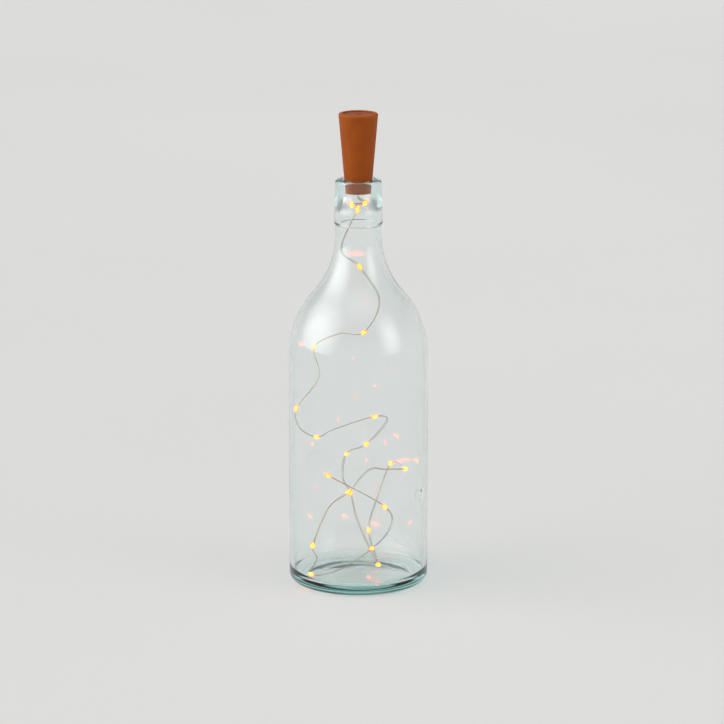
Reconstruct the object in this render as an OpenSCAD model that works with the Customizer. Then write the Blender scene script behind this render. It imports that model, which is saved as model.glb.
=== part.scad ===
// Glass bottle with a battery stopper and a string of small lights
// Millimetres, +Z up, origin on the axis at the surface that the bottle stands on

/* [Bottle] */
// Outer diameter of the body
body_d = 88; // [72:1:110]
// Height of the straight side above the surface
body_h = 148.5; // [110:0.5:200]
// Radius of the convex shoulder
shoulder_r = 57.5; // [45:0.5:70]
// Length of the straight slope between the two curves
slope_l = 4.5; // [1:0.5:12]
// Radius of the concave curve under the neck
flare_r = 56.5; // [45:0.5:70]
// Outer diameter of the neck
neck_d = 28.9; // [27:0.1:34]
// Straight length of the neck under the collar
neck_h = 5.8; // [3:0.1:15]
// Thickness of the glass wall
wall = 2.9; // [2.2:0.1:3.6]
// Thickness of the glass floor
floor_t = 6; // [5:0.1:9]
// Radius of the outer heel
heel_r = 6.5; // [4:0.5:9]
// Width of the ring that the bottle stands on
stand_w = 5; // [3:0.5:8]
// Rise of the hollow under the floor
push_up = 2.5; // [1:0.1:3.5]

/* [Collar] */
// Height of the thick collar
collar_h = 28.5; // [20:0.5:36]
// Diameter of the collar at its lower edge
collar_low_d = 30.6; // [30:0.1:38]
// Diameter of the collar at the rim
collar_top_d = 29.2; // [28:0.1:36]
// Radius of the collar's rounded edges
collar_edge = 1.3; // [0.6:0.1:2]

/* [Seal disc] */
// Diameter of the plain raised disc on the wall
seal_d = 8; // [6:0.5:20]
// Height of the disc above the wall
seal_t = 0.9; // [0.3:0.1:1.5]
// Height of the disc's centre above the surface
seal_z = 60; // [30:1:100]
// Direction of the disc about the axis
seal_turn = -26; // [-180:1:180]

/* [Stopper] */
// Length of the stopper
stopper_l = 50; // [42:0.5:62]
// Depth that the stopper is pushed into the mouth
stopper_in = 8; // [6:0.5:9.5]
// Diameter at the top
stopper_top_d = 24.8; // [24.2:0.1:30]
// Diameter at the lower end
stopper_end_d = 16.3; // [16:0.1:20]
// Thickness of the lower wall
stopper_floor = 1.9; // [1.5:0.1:2.4]
// Radius of the top's outer edge
stopper_edge = 0.9; // [0.4:0.1:1.4]
// Clearance between the stopper and the glass seat, each side
seat_gap = 0.08; // [0.03:0.01:0.08]

/* [End cap] */
// Diameter of the recess that the end cap lies in
recess_d = 19.4; // [19:0.1:20.4]
// Depth of the cap's top below the rim
recess = 0.6; // [0.3:0.1:0.9]
// Thickness of the end cap
cap_t = 1.6; // [1.2:0.1:1.9]
// Clearance of the sliding parts inside the stopper, each side
slide_gap = 0.2; // [0.12:0.01:0.25]
// Distance of each cap screw from the axis
screw_at = 7.6; // [7.4:0.1:7.8]
// Diameter of a cap screw's shank
screw_d = 1.2; // [1:0.1:1.3]
// Diameter of a cap screw's head
screw_head_d = 2.3; // [2:0.1:2.5]

/* [Battery tray] */
// Diameter of one button cell
cell_d = 11.6; // [9.5:0.1:11.8]
// Thickness of one button cell
cell_h = 5.4; // [4.2:0.1:5.6]
// Clearance round the cells, each side
cell_gap = 0.2; // [0.1:0.05:0.25]
// Thickness of the tray's wall
tray_wall = 1.2; // [1:0.05:1.25]
// Thickness of the tray's floor
tray_floor = 1.5; // [1.2:0.1:2]
// Thickness of the tray's flange
flange_t = 2.6; // [2.2:0.1:3]
// Thickness of the contact plates
plate_t = 0.3; // [0.2:0.05:0.4]
// Height of the space that the cell spring fills
spring_h = 3; // [2.4:0.1:3.6]
// Wire diameter of the cell spring
spring_wire = 0.5; // [0.4:0.05:0.6]
// Thickness of the circuit board
board_t = 0.8; // [0.6:0.1:1]

/* [Switch] */
// Length of the switch housing
switch_l = 8.6; // [8.2:0.1:9]
// Width of the switch housing
switch_w = 4; // [3.8:0.1:5]
// Height of the switch housing
switch_h = 3.2; // [3.1:0.1:3.3]
// Travel of the slider
switch_travel = 2; // [1.5:0.1:2.2]
// Side of the slider's square stem
stem = 1.4; // [1.2:0.1:1.5]
// Clearance round the slider, each side
switch_gap = 0.12; // [0.08:0.01:0.15]

/* [Light string] */
// Diameter of one strand
strand_d = 0.36; // [0.3:0.02:0.5]
// Distance between the two strands' centres
strand_gap = 0.5; // [0.46:0.02:0.7]
// Distance between the strands' centres inside a bead
strand_part = 0.84; // [0.7:0.02:1]
// Length of one resin bead
bead_l = 4.6; // [3.6:0.1:5.2]
// Diameter of one resin bead
bead_d = 2.5; // [2.2:0.1:2.7]
// Diameter of the inner leads
lead_d = 0.8; // [0.6:0.05:1]
// Turns of slack in each inner lead
lead_turns = 2; // [1:0.5:2]

/* [Hidden] */
$fn = 64;
eps = 0.01;

// Bottle outline
body_r = body_d / 2;
neck_r = neck_d / 2;
curves = shoulder_r + flare_r;
inset = body_r - neck_r;
slope = acos((curves - inset) / norm([curves, slope_l])) - atan2(slope_l, curves);
slope_low = [body_r - shoulder_r * (1 - cos(slope)), body_h + shoulder_r * sin(slope)];
slope_top = slope_low + slope_l * [-sin(slope), cos(slope)];
flare_z = slope_top[1] + flare_r * sin(slope);
collar_z = flare_z + neck_h;
rim_z = collar_z + collar_h;
inner_heel = heel_r - 1.5;
floor_rise = 1;

// Stopper levels
end_z = rim_z - stopper_in;
top_z = end_z + stopper_l;
taper = (stopper_top_d - stopper_end_d) / 2 / stopper_l;
seat_end = end_z - 1;
hollow_z = end_z + stopper_floor;
cap_top = top_z - recess;
cap_z = cap_top - cap_t;
housing_gap = 0.4;
board_top = cap_z - housing_gap - switch_h;
board_z = board_top - board_t;
contact_t = 0.4;
contact_r = cell_d / 2 - 1.4;
cells_top = board_z - contact_t;
cells_z = cells_top - 3 * cell_h;
spring_z = cells_z - spring_h;
plate_z = spring_z - plate_t;
tray_z = plate_z - tray_floor;
flange_z = board_z - flange_t;
foot_z = tray_z - plate_t;
tray_in_r = cell_d / 2 + cell_gap;
tray_r = tray_in_r + tray_wall;
tray_bore_r = tray_r + slide_gap;
recess_r = recess_d / 2;
slack_r = tray_bore_r - 0.5;
slack_z = hollow_z + 4.6;
grommet_r = 1.6;
grommet_flange_r = 2.8;
grommet_flange_t = 0.8;
grommet_out = 0.5;
lead_z = hollow_z + grommet_flange_t;
lead_at = tray_in_r - 1.85;
strip_x = tray_in_r + 0.35;
strip_w = 2;
screw_tip_z = flange_z + 0.5;
screw_head_z = cap_top - 0.9;
board_r = recess_r - 0.7;
slider_l = 4;
slider_w = 2.3;
slider_h = 1.4;
slider_z = board_top + 0.9;
slider_rest = switch_travel / 2;

// Route of the light string from the grommet to the last light, chosen by hand
route = [
    [0, 0, 251], [0, 0, 248.5], [4.5, 4, 246.2], [-4, 5.5, 245.1],
    [-0.5, -6.5, 242.7], [-10.5, -1, 215], [1, 7, 202], [13.5, 8, 180],
    [3.5, 12, 158.5], [-12.5, 33.5, 153], [-29, 22, 147], [-25, 3, 132],
    [-39.2, -3, 113], [-38, 1.5, 100], [-25.5, -25.5, 100], [-15, -36, 107.5],
    [10, -37, 116], [18, -13, 107.5], [5, -21.5, 94.5], [-8, 23, 77],
    [-10.5, 29, 60.5], [-5, 0, 57], [0, -7, 39.5], [12.5, -14, 13.5],
    [7, 33, 23.5], [12.5, 34.5, 44], [21.5, 30, 68.5], [29, -18, 77.5],
    [16.5, -34, 81.2], [6.5, -36, 81.3], [-6, -39, 68], [-18.5, -26.5, 54],
    [-28, -26.5, 29.5], [-26.5, -4, 15], [-29, -25, 10], [-12, -19, 11.5],
    [8.5, 2.5, 19.5], [21, 30.5, 26.5], [17.5, 25, 41], [-19.5, 4.5, 67.5]];
// Places on the route that carry a light
lights = [2, 3, 4, 6, 8, 10, 12, 14, 16, 18, 19, 21, 23, 24, 26, 27, 30, 32, 34, 36, 38, 39];

// Points of an arc about c from angle a to angle b
function arc(c, r, a, b, n) = [for (i = [0:n]) c + r * [cos(a + (b - a) * i / n), sin(a + (b - a) * i / n)]];

function unit(v) = v / norm(v);

// Stopper radius at height z
function stopper_r(z) = stopper_end_d / 2 + taper * (z - end_z);

// Point at share t of the way from b to c on a smooth curve through a, b, c and d
function curve(a, b, c, d, t) = (2 * b + (c - a) * t + (2 * a - 5 * b + 4 * c - d) * t * t
    + (3 * b - a - 3 * c + d) * t * t * t) / 2;

last = len(route) - 1;
function route_point(i) = i < 0 ? 2 * route[0] - route[1] : i > last ? 2 * route[last] - route[last - 1] : route[i];
function on_route(i, t) = curve(route_point(i - 1), route_point(i), route_point(i + 1), route_point(i + 2), t);

// Centres of the rings, two for each step of the route
rings = [for (i = [0:last - 1], t = [0, 0.5]) on_route(i, t), route[last]];
ring_count = len(rings);

// Directions along the string, and the side direction that carries the two strands
along = [for (i = [0:ring_count - 1]) i == 0 ? [0, 0, -1]
    : unit(rings[min(i + 1, ring_count - 1)] - rings[i - 1])];
function level(v, t) = unit(v - (v * t) * t);
sides = [for (i = 0, v = [1, 0, 0]; i < ring_count; i = i + 1, v = i < ring_count ? level(v, along[i]) : v) v];
has_light = [for (i = [0:ring_count - 1]) len(search(i / 2, lights)) > 0];

// Tube through centres c, with tangents t and side directions s
module tube(c, t, s, r, n) {
    count = len(c);
    points = [for (i = [0:count - 1], k = [0:n - 1])
        c[i] + r * (cos(360 * k / n) * s[i] + sin(360 * k / n) * cross(t[i], s[i]))];
    skin = [for (i = [0:count - 2], k = [0:n - 1], h = [0, 1])
        h == 0 ? [i * n + k, (i + 1) * n + k, (i + 1) * n + (k + 1) % n]
            : [i * n + k, (i + 1) * n + (k + 1) % n, i * n + (k + 1) % n]];
    front = [for (k = [1:n - 2]) [0, k, k + 1]];
    back = [for (k = [1:n - 2]) [(count - 1) * n, (count - 1) * n + k + 1, (count - 1) * n + k]];
    polyhedron(points = points, faces = concat(skin, front, back), convexity = 10);
}

// One strand, on the side given by way
module strand(way) {
    centres = [for (i = [0:ring_count - 1])
        rings[i] + way * (has_light[i] ? strand_part : strand_gap) / 2 * sides[i]];
    tube(centres, along, sides, strand_d / 2, 8);
}

// Places its children on light number i of the string, with Z along the string and X across the strands
module on_light(i) {
    k = 2 * lights[i];
    t = along[k];
    tilt = acos(t[2]);
    turn = atan2(t[1], t[0]);
    ex = [cos(tilt) * cos(turn), cos(tilt) * sin(turn), -sin(tilt)];
    ey = [-sin(turn), cos(turn), 0];
    translate(rings[k])
        rotate([0, tilt, turn])
            rotate([0, 0, atan2(sides[k] * ey, sides[k] * ex)])
                children();
}

// Outline of the outside of the glass, from the axis up to the rim
function glass_outside() = concat(
    [[0, push_up]],
    [for (i = [1:6]) let (r = (body_r - heel_r - stand_w) * i / 6)
        [r, push_up * (1 - pow(i / 6, 2))]],
    arc([body_r - heel_r, heel_r], heel_r, -90, 0, 8),
    arc([body_r - shoulder_r, body_h], shoulder_r, 0, slope, 14),
    arc([neck_r + flare_r, flare_z], flare_r, 180 + slope, 180, 14),
    [[neck_r, collar_z]],
    arc([collar_low_d / 2 - collar_edge, collar_z + collar_edge], collar_edge, -90, 0, 6),
    arc([collar_top_d / 2 - collar_edge, rim_z - collar_edge], collar_edge, 0, 90, 6));

// Outline of the inside of the glass, from the rim down to the axis
mouth_r = stopper_r(rim_z) + seat_gap;
seat_end_r = stopper_r(seat_end) + seat_gap;
throat_r = neck_r - wall;
throat_z = collar_z + 7;
function glass_inside() = concat(
    [[mouth_r, rim_z]],
    [[seat_end_r, seat_end]],
    [for (i = [1:6]) let (s = i / 6, w = s * s * (3 - 2 * s))
        [seat_end_r + (throat_r - seat_end_r) * w, seat_end + (throat_z - seat_end) * s]],
    arc([neck_r + flare_r, flare_z], flare_r + wall, 180, 180 + slope, 14),
    arc([body_r - shoulder_r, body_h], shoulder_r - wall, slope, 0, 14),
    arc([body_r - wall - inner_heel, floor_t + inner_heel], inner_heel, 0, -90, 8),
    [[0, floor_t + floor_rise]]);

module bottle() {
    color([0.80, 0.90, 0.88, 0.35])
        difference() {
            union() {
                rotate_extrude($fn = 128)
                    polygon(concat(glass_outside(), [[0, rim_z]]));
                intersection() {
                    cylinder(h = rim_z, r = body_r + seal_t, $fn = 128);
                    translate([0, 0, seal_z])
                        rotate([0, 90, seal_turn])
                            translate([0, 0, body_r - wall / 2])
                                cylinder(h = wall + seal_t, d = seal_d);
                }
            }
            rotate_extrude($fn = 128)
                polygon(concat([[0, rim_z + 1], [mouth_r + taper, rim_z + 1]], glass_inside()));
        }
}

module stopper_shell() {
    color("#8a4a1c")
        rotate_extrude($fn = 96)
            polygon(concat(
                [[grommet_r, end_z], [stopper_r(end_z), end_z]],
                arc([stopper_r(top_z) - stopper_edge, top_z - stopper_edge], stopper_edge, 0, 90, 6),
                [[recess_r, top_z], [recess_r, flange_z], [tray_bore_r, flange_z]],
                [[tray_bore_r, foot_z], [slack_r, foot_z], [slack_r, slack_z]],
                [[slack_r - 1, slack_z - 1], [slack_r - 1, hollow_z], [grommet_r, hollow_z]]));
}

module wire_grommet() {
    color("#2b2b2b")
        rotate_extrude()
            polygon([[0, end_z - grommet_out], [grommet_r - 0.2, end_z - grommet_out],
                [grommet_r, end_z - grommet_out + 0.2], [grommet_r, hollow_z],
                [grommet_flange_r, hollow_z], [grommet_flange_r, lead_z], [0, lead_z]]);
}

// Two copies, one on each side of the axis along Y
module both_screws() {
    for (way = [-1, 1]) {
        translate([0, way * screw_at, 0])
            children();
    }
}

// Upright slot with round ends, along X
module slot(l, w, h) {
    translate([-(l - w) / 2, -w / 2, 0])
        cube([l - w, w, h]);
    for (way = [-1, 1]) {
        translate([way * (l - w) / 2, 0, 0])
            cylinder(h = h, d = w);
    }
}

module end_cap() {
    slot_l = stem + switch_travel + 0.8;
    color("#7d4219")
        difference() {
            union() {
                translate([0, 0, cap_z])
                    rotate_extrude($fn = 96)
                        polygon([[0, 0], [recess_r - slide_gap, 0],
                            [recess_r - slide_gap, cap_t - 0.3], [recess_r - slide_gap - 0.3, cap_t], [0, cap_t]]);
                both_screws()
                    translate([0, 0, board_top])
                        cylinder(h = cap_z - board_top + eps, d = screw_head_d + 0.3);
            }
            translate([0, 0, cap_z - 1])
                slot(slot_l, stem + 0.6, cap_t + 2);
            both_screws() {
                translate([0, 0, board_top - 1])
                    cylinder(h = cap_top - board_top + 2, d = screw_d + 0.2);
                translate([0, 0, screw_head_z])
                    cylinder(h = cap_top - screw_head_z + 1, d = screw_head_d + 0.2);
            }
        }
}

module cap_screws() {
    color("silver")
        both_screws()
            difference() {
                union() {
                    translate([0, 0, screw_tip_z])
                        cylinder(h = screw_head_z - screw_tip_z + eps, d = screw_d);
                    translate([0, 0, screw_head_z])
                        cylinder(h = 0.7, d = screw_head_d);
                }
                for (turn = [0, 90]) {
                    translate([0, 0, screw_head_z + 0.7])
                        rotate([0, 0, turn])
                            cube([1.5, 0.3, 0.7], center = true);
                }
            }
}

module battery_tray() {
    color("#30302e")
        difference() {
            rotate_extrude($fn = 96)
                polygon([[0, tray_z], [tray_r, tray_z], [tray_r, flange_z], [recess_r - slide_gap, flange_z],
                    [recess_r - slide_gap, board_z], [tray_in_r, board_z], [tray_in_r, plate_z], [0, plate_z]]);
            translate([-strip_x - plate_t / 2 - 0.1, -strip_w / 2 - 0.1, tray_z - 1])
                cube([plate_t + 1, strip_w + 0.2, board_z - tray_z + 2]);
            translate([lead_at - plate_t / 2, -0.6, tray_z - 1])
                cube([plate_t, 1.2, tray_floor + 2]);
            both_screws()
                translate([0, 0, screw_tip_z - 0.1])
                    cylinder(h = board_z, d = screw_d + 0.05);
        }
}

// One button cell, whose smaller face points down
module cell(z) {
    cap_h = 0.4;
    color("silver")
        translate([0, 0, z])
            rotate_extrude($fn = 72)
                polygon([[0, 0], [cell_d / 2 - 0.9, 0], [cell_d / 2 - 0.7, cap_h], [cell_d / 2 - 0.3, cap_h],
                    [cell_d / 2, cap_h + 0.3], [cell_d / 2, cell_h - 0.2], [cell_d / 2 - 0.2, cell_h], [0, cell_h]]);
}

module cell_upper() {
    cell(cells_z + 2 * cell_h);
}

module cell_middle() {
    cell(cells_z + cell_h);
}

module cell_lower() {
    cell(cells_z);
}

module cell_spring() {
    turns = 3.5;
    steps = 42;
    low = spring_z + spring_wire / 2;
    rise = spring_h - spring_wire;
    function spring_point(s) = let (a = 360 * turns * s, r = tray_in_r - 2 - 1.2 * s)
        [r * cos(a), r * sin(a), low + rise * s];
    c = [for (i = [0:steps]) spring_point(i / steps)];
    t = [for (i = [0:steps]) unit(spring_point((i + 0.5) / steps) - spring_point((i - 0.5) / steps))];
    s = [for (i = [0:steps]) level([0, 0, 1], t[i])];
    color("gainsboro")
        tube(c, t, s, spring_wire / 2, 6);
}

module spring_plate() {
    color("gold") {
        translate([0, 0, plate_z])
            cylinder(h = plate_t, r = tray_in_r - 0.8);
        translate([lead_at - plate_t / 2, -0.6, foot_z])
            cube([plate_t, 1.2, plate_z - foot_z + plate_t / 2]);
    }
}

module positive_contact() {
    color("gold")
        translate([0, 0, cells_top])
            rotate_extrude()
                polygon([[0, 0], [contact_r - 1.2, 0], [contact_r - 0.6, contact_t - 0.15], [contact_r, contact_t - 0.15],
                    [contact_r, contact_t], [0, contact_t]]);
}

module contact_strip() {
    color("gold") {
        translate([-strip_x - plate_t / 2, -strip_w / 2, foot_z])
            cube([plate_t, strip_w, board_z - foot_z]);
        translate([-strip_x - plate_t / 2, -strip_w / 2, foot_z])
            cube([strip_x - lead_at + 0.7, strip_w, plate_t]);
    }
}

module circuit_board() {
    color("darkgreen")
        difference() {
            translate([0, 0, board_z])
                cylinder(h = board_t, r = board_r, $fn = 96);
            both_screws()
                translate([0, 0, board_z - 1])
                    cylinder(h = board_t + 2, d = screw_d + 0.3);
        }
}

module resistor() {
    color("dimgray")
        translate([-1.6, -5, board_top])
            cube([3.2, 1.6, 0.6]);
}

module switch_housing() {
    cavity_l = slider_l + switch_travel + 2 * switch_gap;
    color("silver")
        difference() {
            translate([-switch_l / 2, -switch_w / 2, board_top])
                cube([switch_l, switch_w, switch_h]);
            translate([-cavity_l / 2, -slider_w / 2 - switch_gap, slider_z - switch_gap])
                cube([cavity_l, slider_w + 2 * switch_gap, slider_h + 2 * switch_gap]);
            translate([-(stem + switch_travel + 0.4) / 2, -stem / 2 - switch_gap, slider_z])
                cube([stem + switch_travel + 0.4, stem + 2 * switch_gap, switch_h]);
        }
}

module switch_slider() {
    color("black")
        translate([slider_rest, 0, 0]) {
            translate([-slider_l / 2, -slider_w / 2, slider_z])
                cube([slider_l, slider_w, slider_h]);
            translate([-stem / 2, -stem / 2, slider_z + slider_h - eps])
                cube([stem, stem, cap_top - 0.3 - slider_z - slider_h + eps]);
        }
}

// One inner lead, wound loosely from the grommet up to the tray, starting at angle turn
module lead(turn) {
    steps = 30;
    rise = foot_z - lead_z;
    function lead_point(s) = let (a = turn + 360 * lead_turns * s, r = 0.9 + (lead_at - 0.9) * min(1, 4 * s))
        [r * cos(a), r * sin(a), lead_z + rise * s];
    c = [for (i = [0:steps]) lead_point(i / steps)];
    t = [for (i = [0:steps]) i == 0 || i == steps ? [0, 0, 1] : unit(c[i + 1] - c[i - 1])];
    s = [for (i = [0:steps]) level([cos(turn + 360 * lead_turns * i / steps), sin(turn + 360 * lead_turns * i / steps), 0], t[i])];
    tube(c, t, s, lead_d / 2, 6);
}

module lead_positive() {
    color("firebrick")
        lead(180);
}

module lead_negative() {
    color("black")
        lead(0);
}

module solder_joints() {
    color("lightgray")
        for (way = [-1, 1]) {
            translate([way * lead_at, 0, foot_z])
                difference() {
                    sphere(r = 0.9, $fn = 32);
                    translate([-1, -1, 0])
                        cube([2, 2, 2]);
                }
        }
}

module string_wire_a() {
    color("tan")
        strand(1);
}

module string_wire_b() {
    color("tan")
        strand(-1);
}

module led_beads() {
    color([1, 0.75, 0.35, 0.6])
        for (i = [0:len(lights) - 1]) {
            on_light(i)
                rotate_extrude($fn = 24)
                    polygon([for (k = [0:8]) let (a = -90 + 180 * k / 8)
                        [max(0, bead_d / 2 * cos(a)), bead_l / 2 * sin(a)]]);
        }
}

module led_chips() {
    color("lightyellow")
        for (i = [0:len(lights) - 1]) {
            on_light(i)
                translate([-0.6, strand_d / 2, -0.4])
                    cube([1.2, 0.5, 0.8]);
        }
}

bottle();
stopper_shell();
wire_grommet();
end_cap();
cap_screws();
battery_tray();
cell_upper();
cell_middle();
cell_lower();
cell_spring();
spring_plate();
positive_contact();
contact_strip();
circuit_board();
resistor();
switch_housing();
switch_slider();
lead_positive();
lead_negative();
solder_joints();
string_wire_a();
string_wire_b();
led_beads();
led_chips();
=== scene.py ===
import logging
import math
from dataclasses import dataclass, field
from enum import Enum
from typing import Callable, Mapping, Optional, Sequence, Union

import bmesh
import bpy
import numpy as np
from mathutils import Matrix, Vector


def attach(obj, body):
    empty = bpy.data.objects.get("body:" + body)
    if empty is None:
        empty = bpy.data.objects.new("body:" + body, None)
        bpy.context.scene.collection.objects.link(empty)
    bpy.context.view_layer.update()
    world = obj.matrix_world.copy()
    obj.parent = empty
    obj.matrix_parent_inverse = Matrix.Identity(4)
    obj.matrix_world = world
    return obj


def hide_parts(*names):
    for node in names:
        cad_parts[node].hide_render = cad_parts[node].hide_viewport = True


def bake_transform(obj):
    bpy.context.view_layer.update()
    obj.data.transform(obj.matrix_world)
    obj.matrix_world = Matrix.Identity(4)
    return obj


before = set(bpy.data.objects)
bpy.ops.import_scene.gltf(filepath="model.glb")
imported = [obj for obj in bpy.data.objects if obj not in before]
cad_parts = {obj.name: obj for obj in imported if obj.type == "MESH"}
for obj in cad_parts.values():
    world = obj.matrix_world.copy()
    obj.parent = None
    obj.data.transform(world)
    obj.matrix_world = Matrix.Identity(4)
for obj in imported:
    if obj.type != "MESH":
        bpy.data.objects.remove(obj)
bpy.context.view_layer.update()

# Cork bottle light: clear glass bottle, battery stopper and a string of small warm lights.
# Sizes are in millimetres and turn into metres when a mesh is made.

LOG = logging.getLogger("cork_bottle_light")
ALL_SMOOTH = 180.0  # a piece with no sharp edges, for Form.make
ENDS_SHARP = 60.0  # a piece with sharp edges only at its ends
SOME_SHARP = 35.0  # a piece whose edges stay sharp and whose curves are smooth
HEAT = "heat"  # name of the mesh attribute that holds how warmly a point glows
MM = 0.001
TO_MM = 1.0 / MM
Colour = tuple[float, float, float]
Point = tuple[float, float]
Place = tuple[float, float, float]
Sockets = Mapping[Union[str, int], object]


# Node trees


class Signal:
    """The output of a node, which takes part in Python arithmetic by adding Math nodes."""

    def __init__(self, graph: "Graph", socket: bpy.types.NodeSocket) -> None:
        """Wraps an output socket.

        Args:
            graph: The graph that holds the socket.
            socket: The output socket.
        """
        self.graph = graph
        self.socket = socket

    def __add__(self, other: "Number") -> "Signal":
        """Returns self + other."""
        return self.graph.math("ADD", self, other)

    def __radd__(self, other: float) -> "Signal":
        """Returns other + self."""
        return self.graph.math("ADD", other, self)

    def __sub__(self, other: "Number") -> "Signal":
        """Returns self - other."""
        return self.graph.math("SUBTRACT", self, other)

    def __rsub__(self, other: float) -> "Signal":
        """Returns other - self."""
        return self.graph.math("SUBTRACT", other, self)

    def __mul__(self, other: "Number") -> "Signal":
        """Returns self * other."""
        return self.graph.math("MULTIPLY", self, other)

    def __rmul__(self, other: float) -> "Signal":
        """Returns other * self."""
        return self.graph.math("MULTIPLY", other, self)

    def __truediv__(self, other: "Number") -> "Signal":
        """Returns self / other."""
        return self.graph.math("DIVIDE", self, other)

    def __rtruediv__(self, other: float) -> "Signal":
        """Returns other / self."""
        return self.graph.math("DIVIDE", other, self)

    def __abs__(self) -> "Signal":
        """Returns the size of self without its sign."""
        return self.graph.math("ABSOLUTE", self)

    def step(self, low: float, high: float) -> "Signal":
        """Rises smoothly from 0 to 1.

        Args:
            low: The value that gives 0.
            high: The value that gives 1.

        Returns:
            The smooth step.
        """
        made = self.graph.node(
            "ShaderNodeMapRange",
            {"interpolation_type": "SMOOTHSTEP"},
            {"Value": self, "From Min": low, "From Max": high},
        )
        return Signal(self.graph, made.outputs["Result"])


Number = Union[Signal, float]


class Graph:
    """One node tree, with a single way in for every node.

    Attributes:
        SHARE: Place of the Mix node's share among its inputs.
        FIRST: Place of its first colour.
        SECOND: Place of its second colour.
        MIXED: Place of the mixed colour among its outputs.
    """

    SHARE, FIRST, SECOND, MIXED = 0, 6, 7, 2

    def __init__(self, tree: bpy.types.NodeTree) -> None:
        """Takes over a tree and empties it.

        Args:
            tree: The tree of a material or of the world.
        """
        tree.nodes.clear()
        self.tree = tree

    def node(
        self, kind: str, settings: Optional[Mapping[str, object]] = None, sockets: Optional[Sockets] = None
    ) -> bpy.types.Node:
        """Adds a node.

        Args:
            kind: The node's type.
            settings: Its settings, set first.
            sockets: The values or links of its inputs, by name or place.

        Returns:
            The new node.
        """
        made = self.tree.nodes.new(kind)
        for name, value in (settings or {}).items():
            setattr(made, name, value)
        for name, value in (sockets or {}).items():
            self.feed(made.inputs[name], value)
        return made

    def feed(self, socket: bpy.types.NodeSocket, value: object) -> None:
        """Links or sets an input.

        Args:
            socket: The input.
            value: A signal, a socket, a number or a colour.
        """
        if isinstance(value, Signal):
            self.tree.links.new(value.socket, socket)
        elif isinstance(value, bpy.types.NodeSocket):
            self.tree.links.new(value, socket)
        elif isinstance(value, (int, float)):
            socket.default_value = value
        else:
            spare = len(socket.default_value) - len(value)
            socket.default_value = (*value, 1.0) if spare == 1 else tuple(value)

    def math(self, operation: str, *values: Number) -> Signal:
        """Adds a Math node.

        Args:
            operation: The node's operation.
            values: Its inputs in order.

        Returns:
            Its result.
        """
        made = self.node("ShaderNodeMath", {"operation": operation}, dict(enumerate(values)))
        return Signal(self, made.outputs[0])

    def vector(self, operation: str, *values: object) -> Signal:
        """Adds a Vector Math node.

        Args:
            operation: The node's operation.
            values: Its vector inputs in order.

        Returns:
            Its result, which is a number for DOT_PRODUCT.
        """
        made = self.node("ShaderNodeVectorMath", {"operation": operation}, dict(enumerate(values)))
        return Signal(self, made.outputs["Value" if operation == "DOT_PRODUCT" else "Vector"])

    def mix(self, share: Number, first: object, second: object) -> Signal:
        """Mixes two colours.

        Args:
            share: 0 for the first and 1 for the second.
            first: The first colour.
            second: The second colour.

        Returns:
            The mixed colour.
        """
        inputs = {self.SHARE: share, self.FIRST: first, self.SECOND: second}
        made = self.node("ShaderNodeMix", {"data_type": "RGBA"}, inputs)
        return Signal(self, made.outputs[self.MIXED])

    def place(self) -> Signal:
        """Returns the point on the piece, in metres."""
        return Signal(self, self.node("ShaderNodeTexCoord").outputs["Object"])

    def heat(self) -> Signal:
        """Returns how warmly the piece glows at each point, from 0 to 1."""
        return Signal(self, self.node("ShaderNodeAttribute", {"attribute_name": HEAT}).outputs["Fac"])

    def upright(self, vector: Signal) -> Signal:
        """Returns the part of a vector along the upright axis."""
        return Signal(self, self.node("ShaderNodeSeparateXYZ", None, {0: vector}).outputs["Z"])

    def noise(self, size: float, detail: float, stretch: Place = (1.0, 1.0, 1.0)) -> Signal:
        """Adds soft noise over the piece.

        Args:
            size: The size of a patch in millimetres.
            detail: How many finer layers it has.
            stretch: How much closer the patches lie along each axis.

        Returns:
            The noise, about 0.5 on average.
        """
        where = self.vector("MULTIPLY", self.place(), stretch)
        made = self.node(
            "ShaderNodeTexNoise", None, {"Vector": where, "Scale": 1.0 / (size * MM), "Detail": detail}
        )
        return Signal(self, made.outputs["Fac"])

    def relief(self, height: Signal, depth: float, strength: float) -> Signal:
        """Turns a height into a normal.

        Args:
            height: The height from 0 to 1.
            depth: The depth of the relief in millimetres.
            strength: How strongly it shows.

        Returns:
            The normal.
        """
        made = self.node(
            "ShaderNodeBump", None, {"Height": height, "Distance": depth * MM, "Strength": strength}
        )
        return Signal(self, made.outputs["Normal"])


def new_graph(name: str) -> tuple[bpy.types.Material, Graph]:
    """Makes a material with an empty tree.

    Args:
        name: The material's name.

    Returns:
        The material and its graph.
    """
    material = bpy.data.materials.new(name)
    material.use_nodes = True
    return material, Graph(material.node_tree)


def show(graph: Graph, sockets: Sockets) -> None:
    """Adds a Principled shader and sends it to the output.

    Args:
        graph: The graph.
        sockets: The shader's values and links.
    """
    shader = graph.node("ShaderNodeBsdfPrincipled", None, sockets)
    graph.node("ShaderNodeOutputMaterial", None, {"Surface": shader.outputs["BSDF"]})


# Finishes


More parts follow.
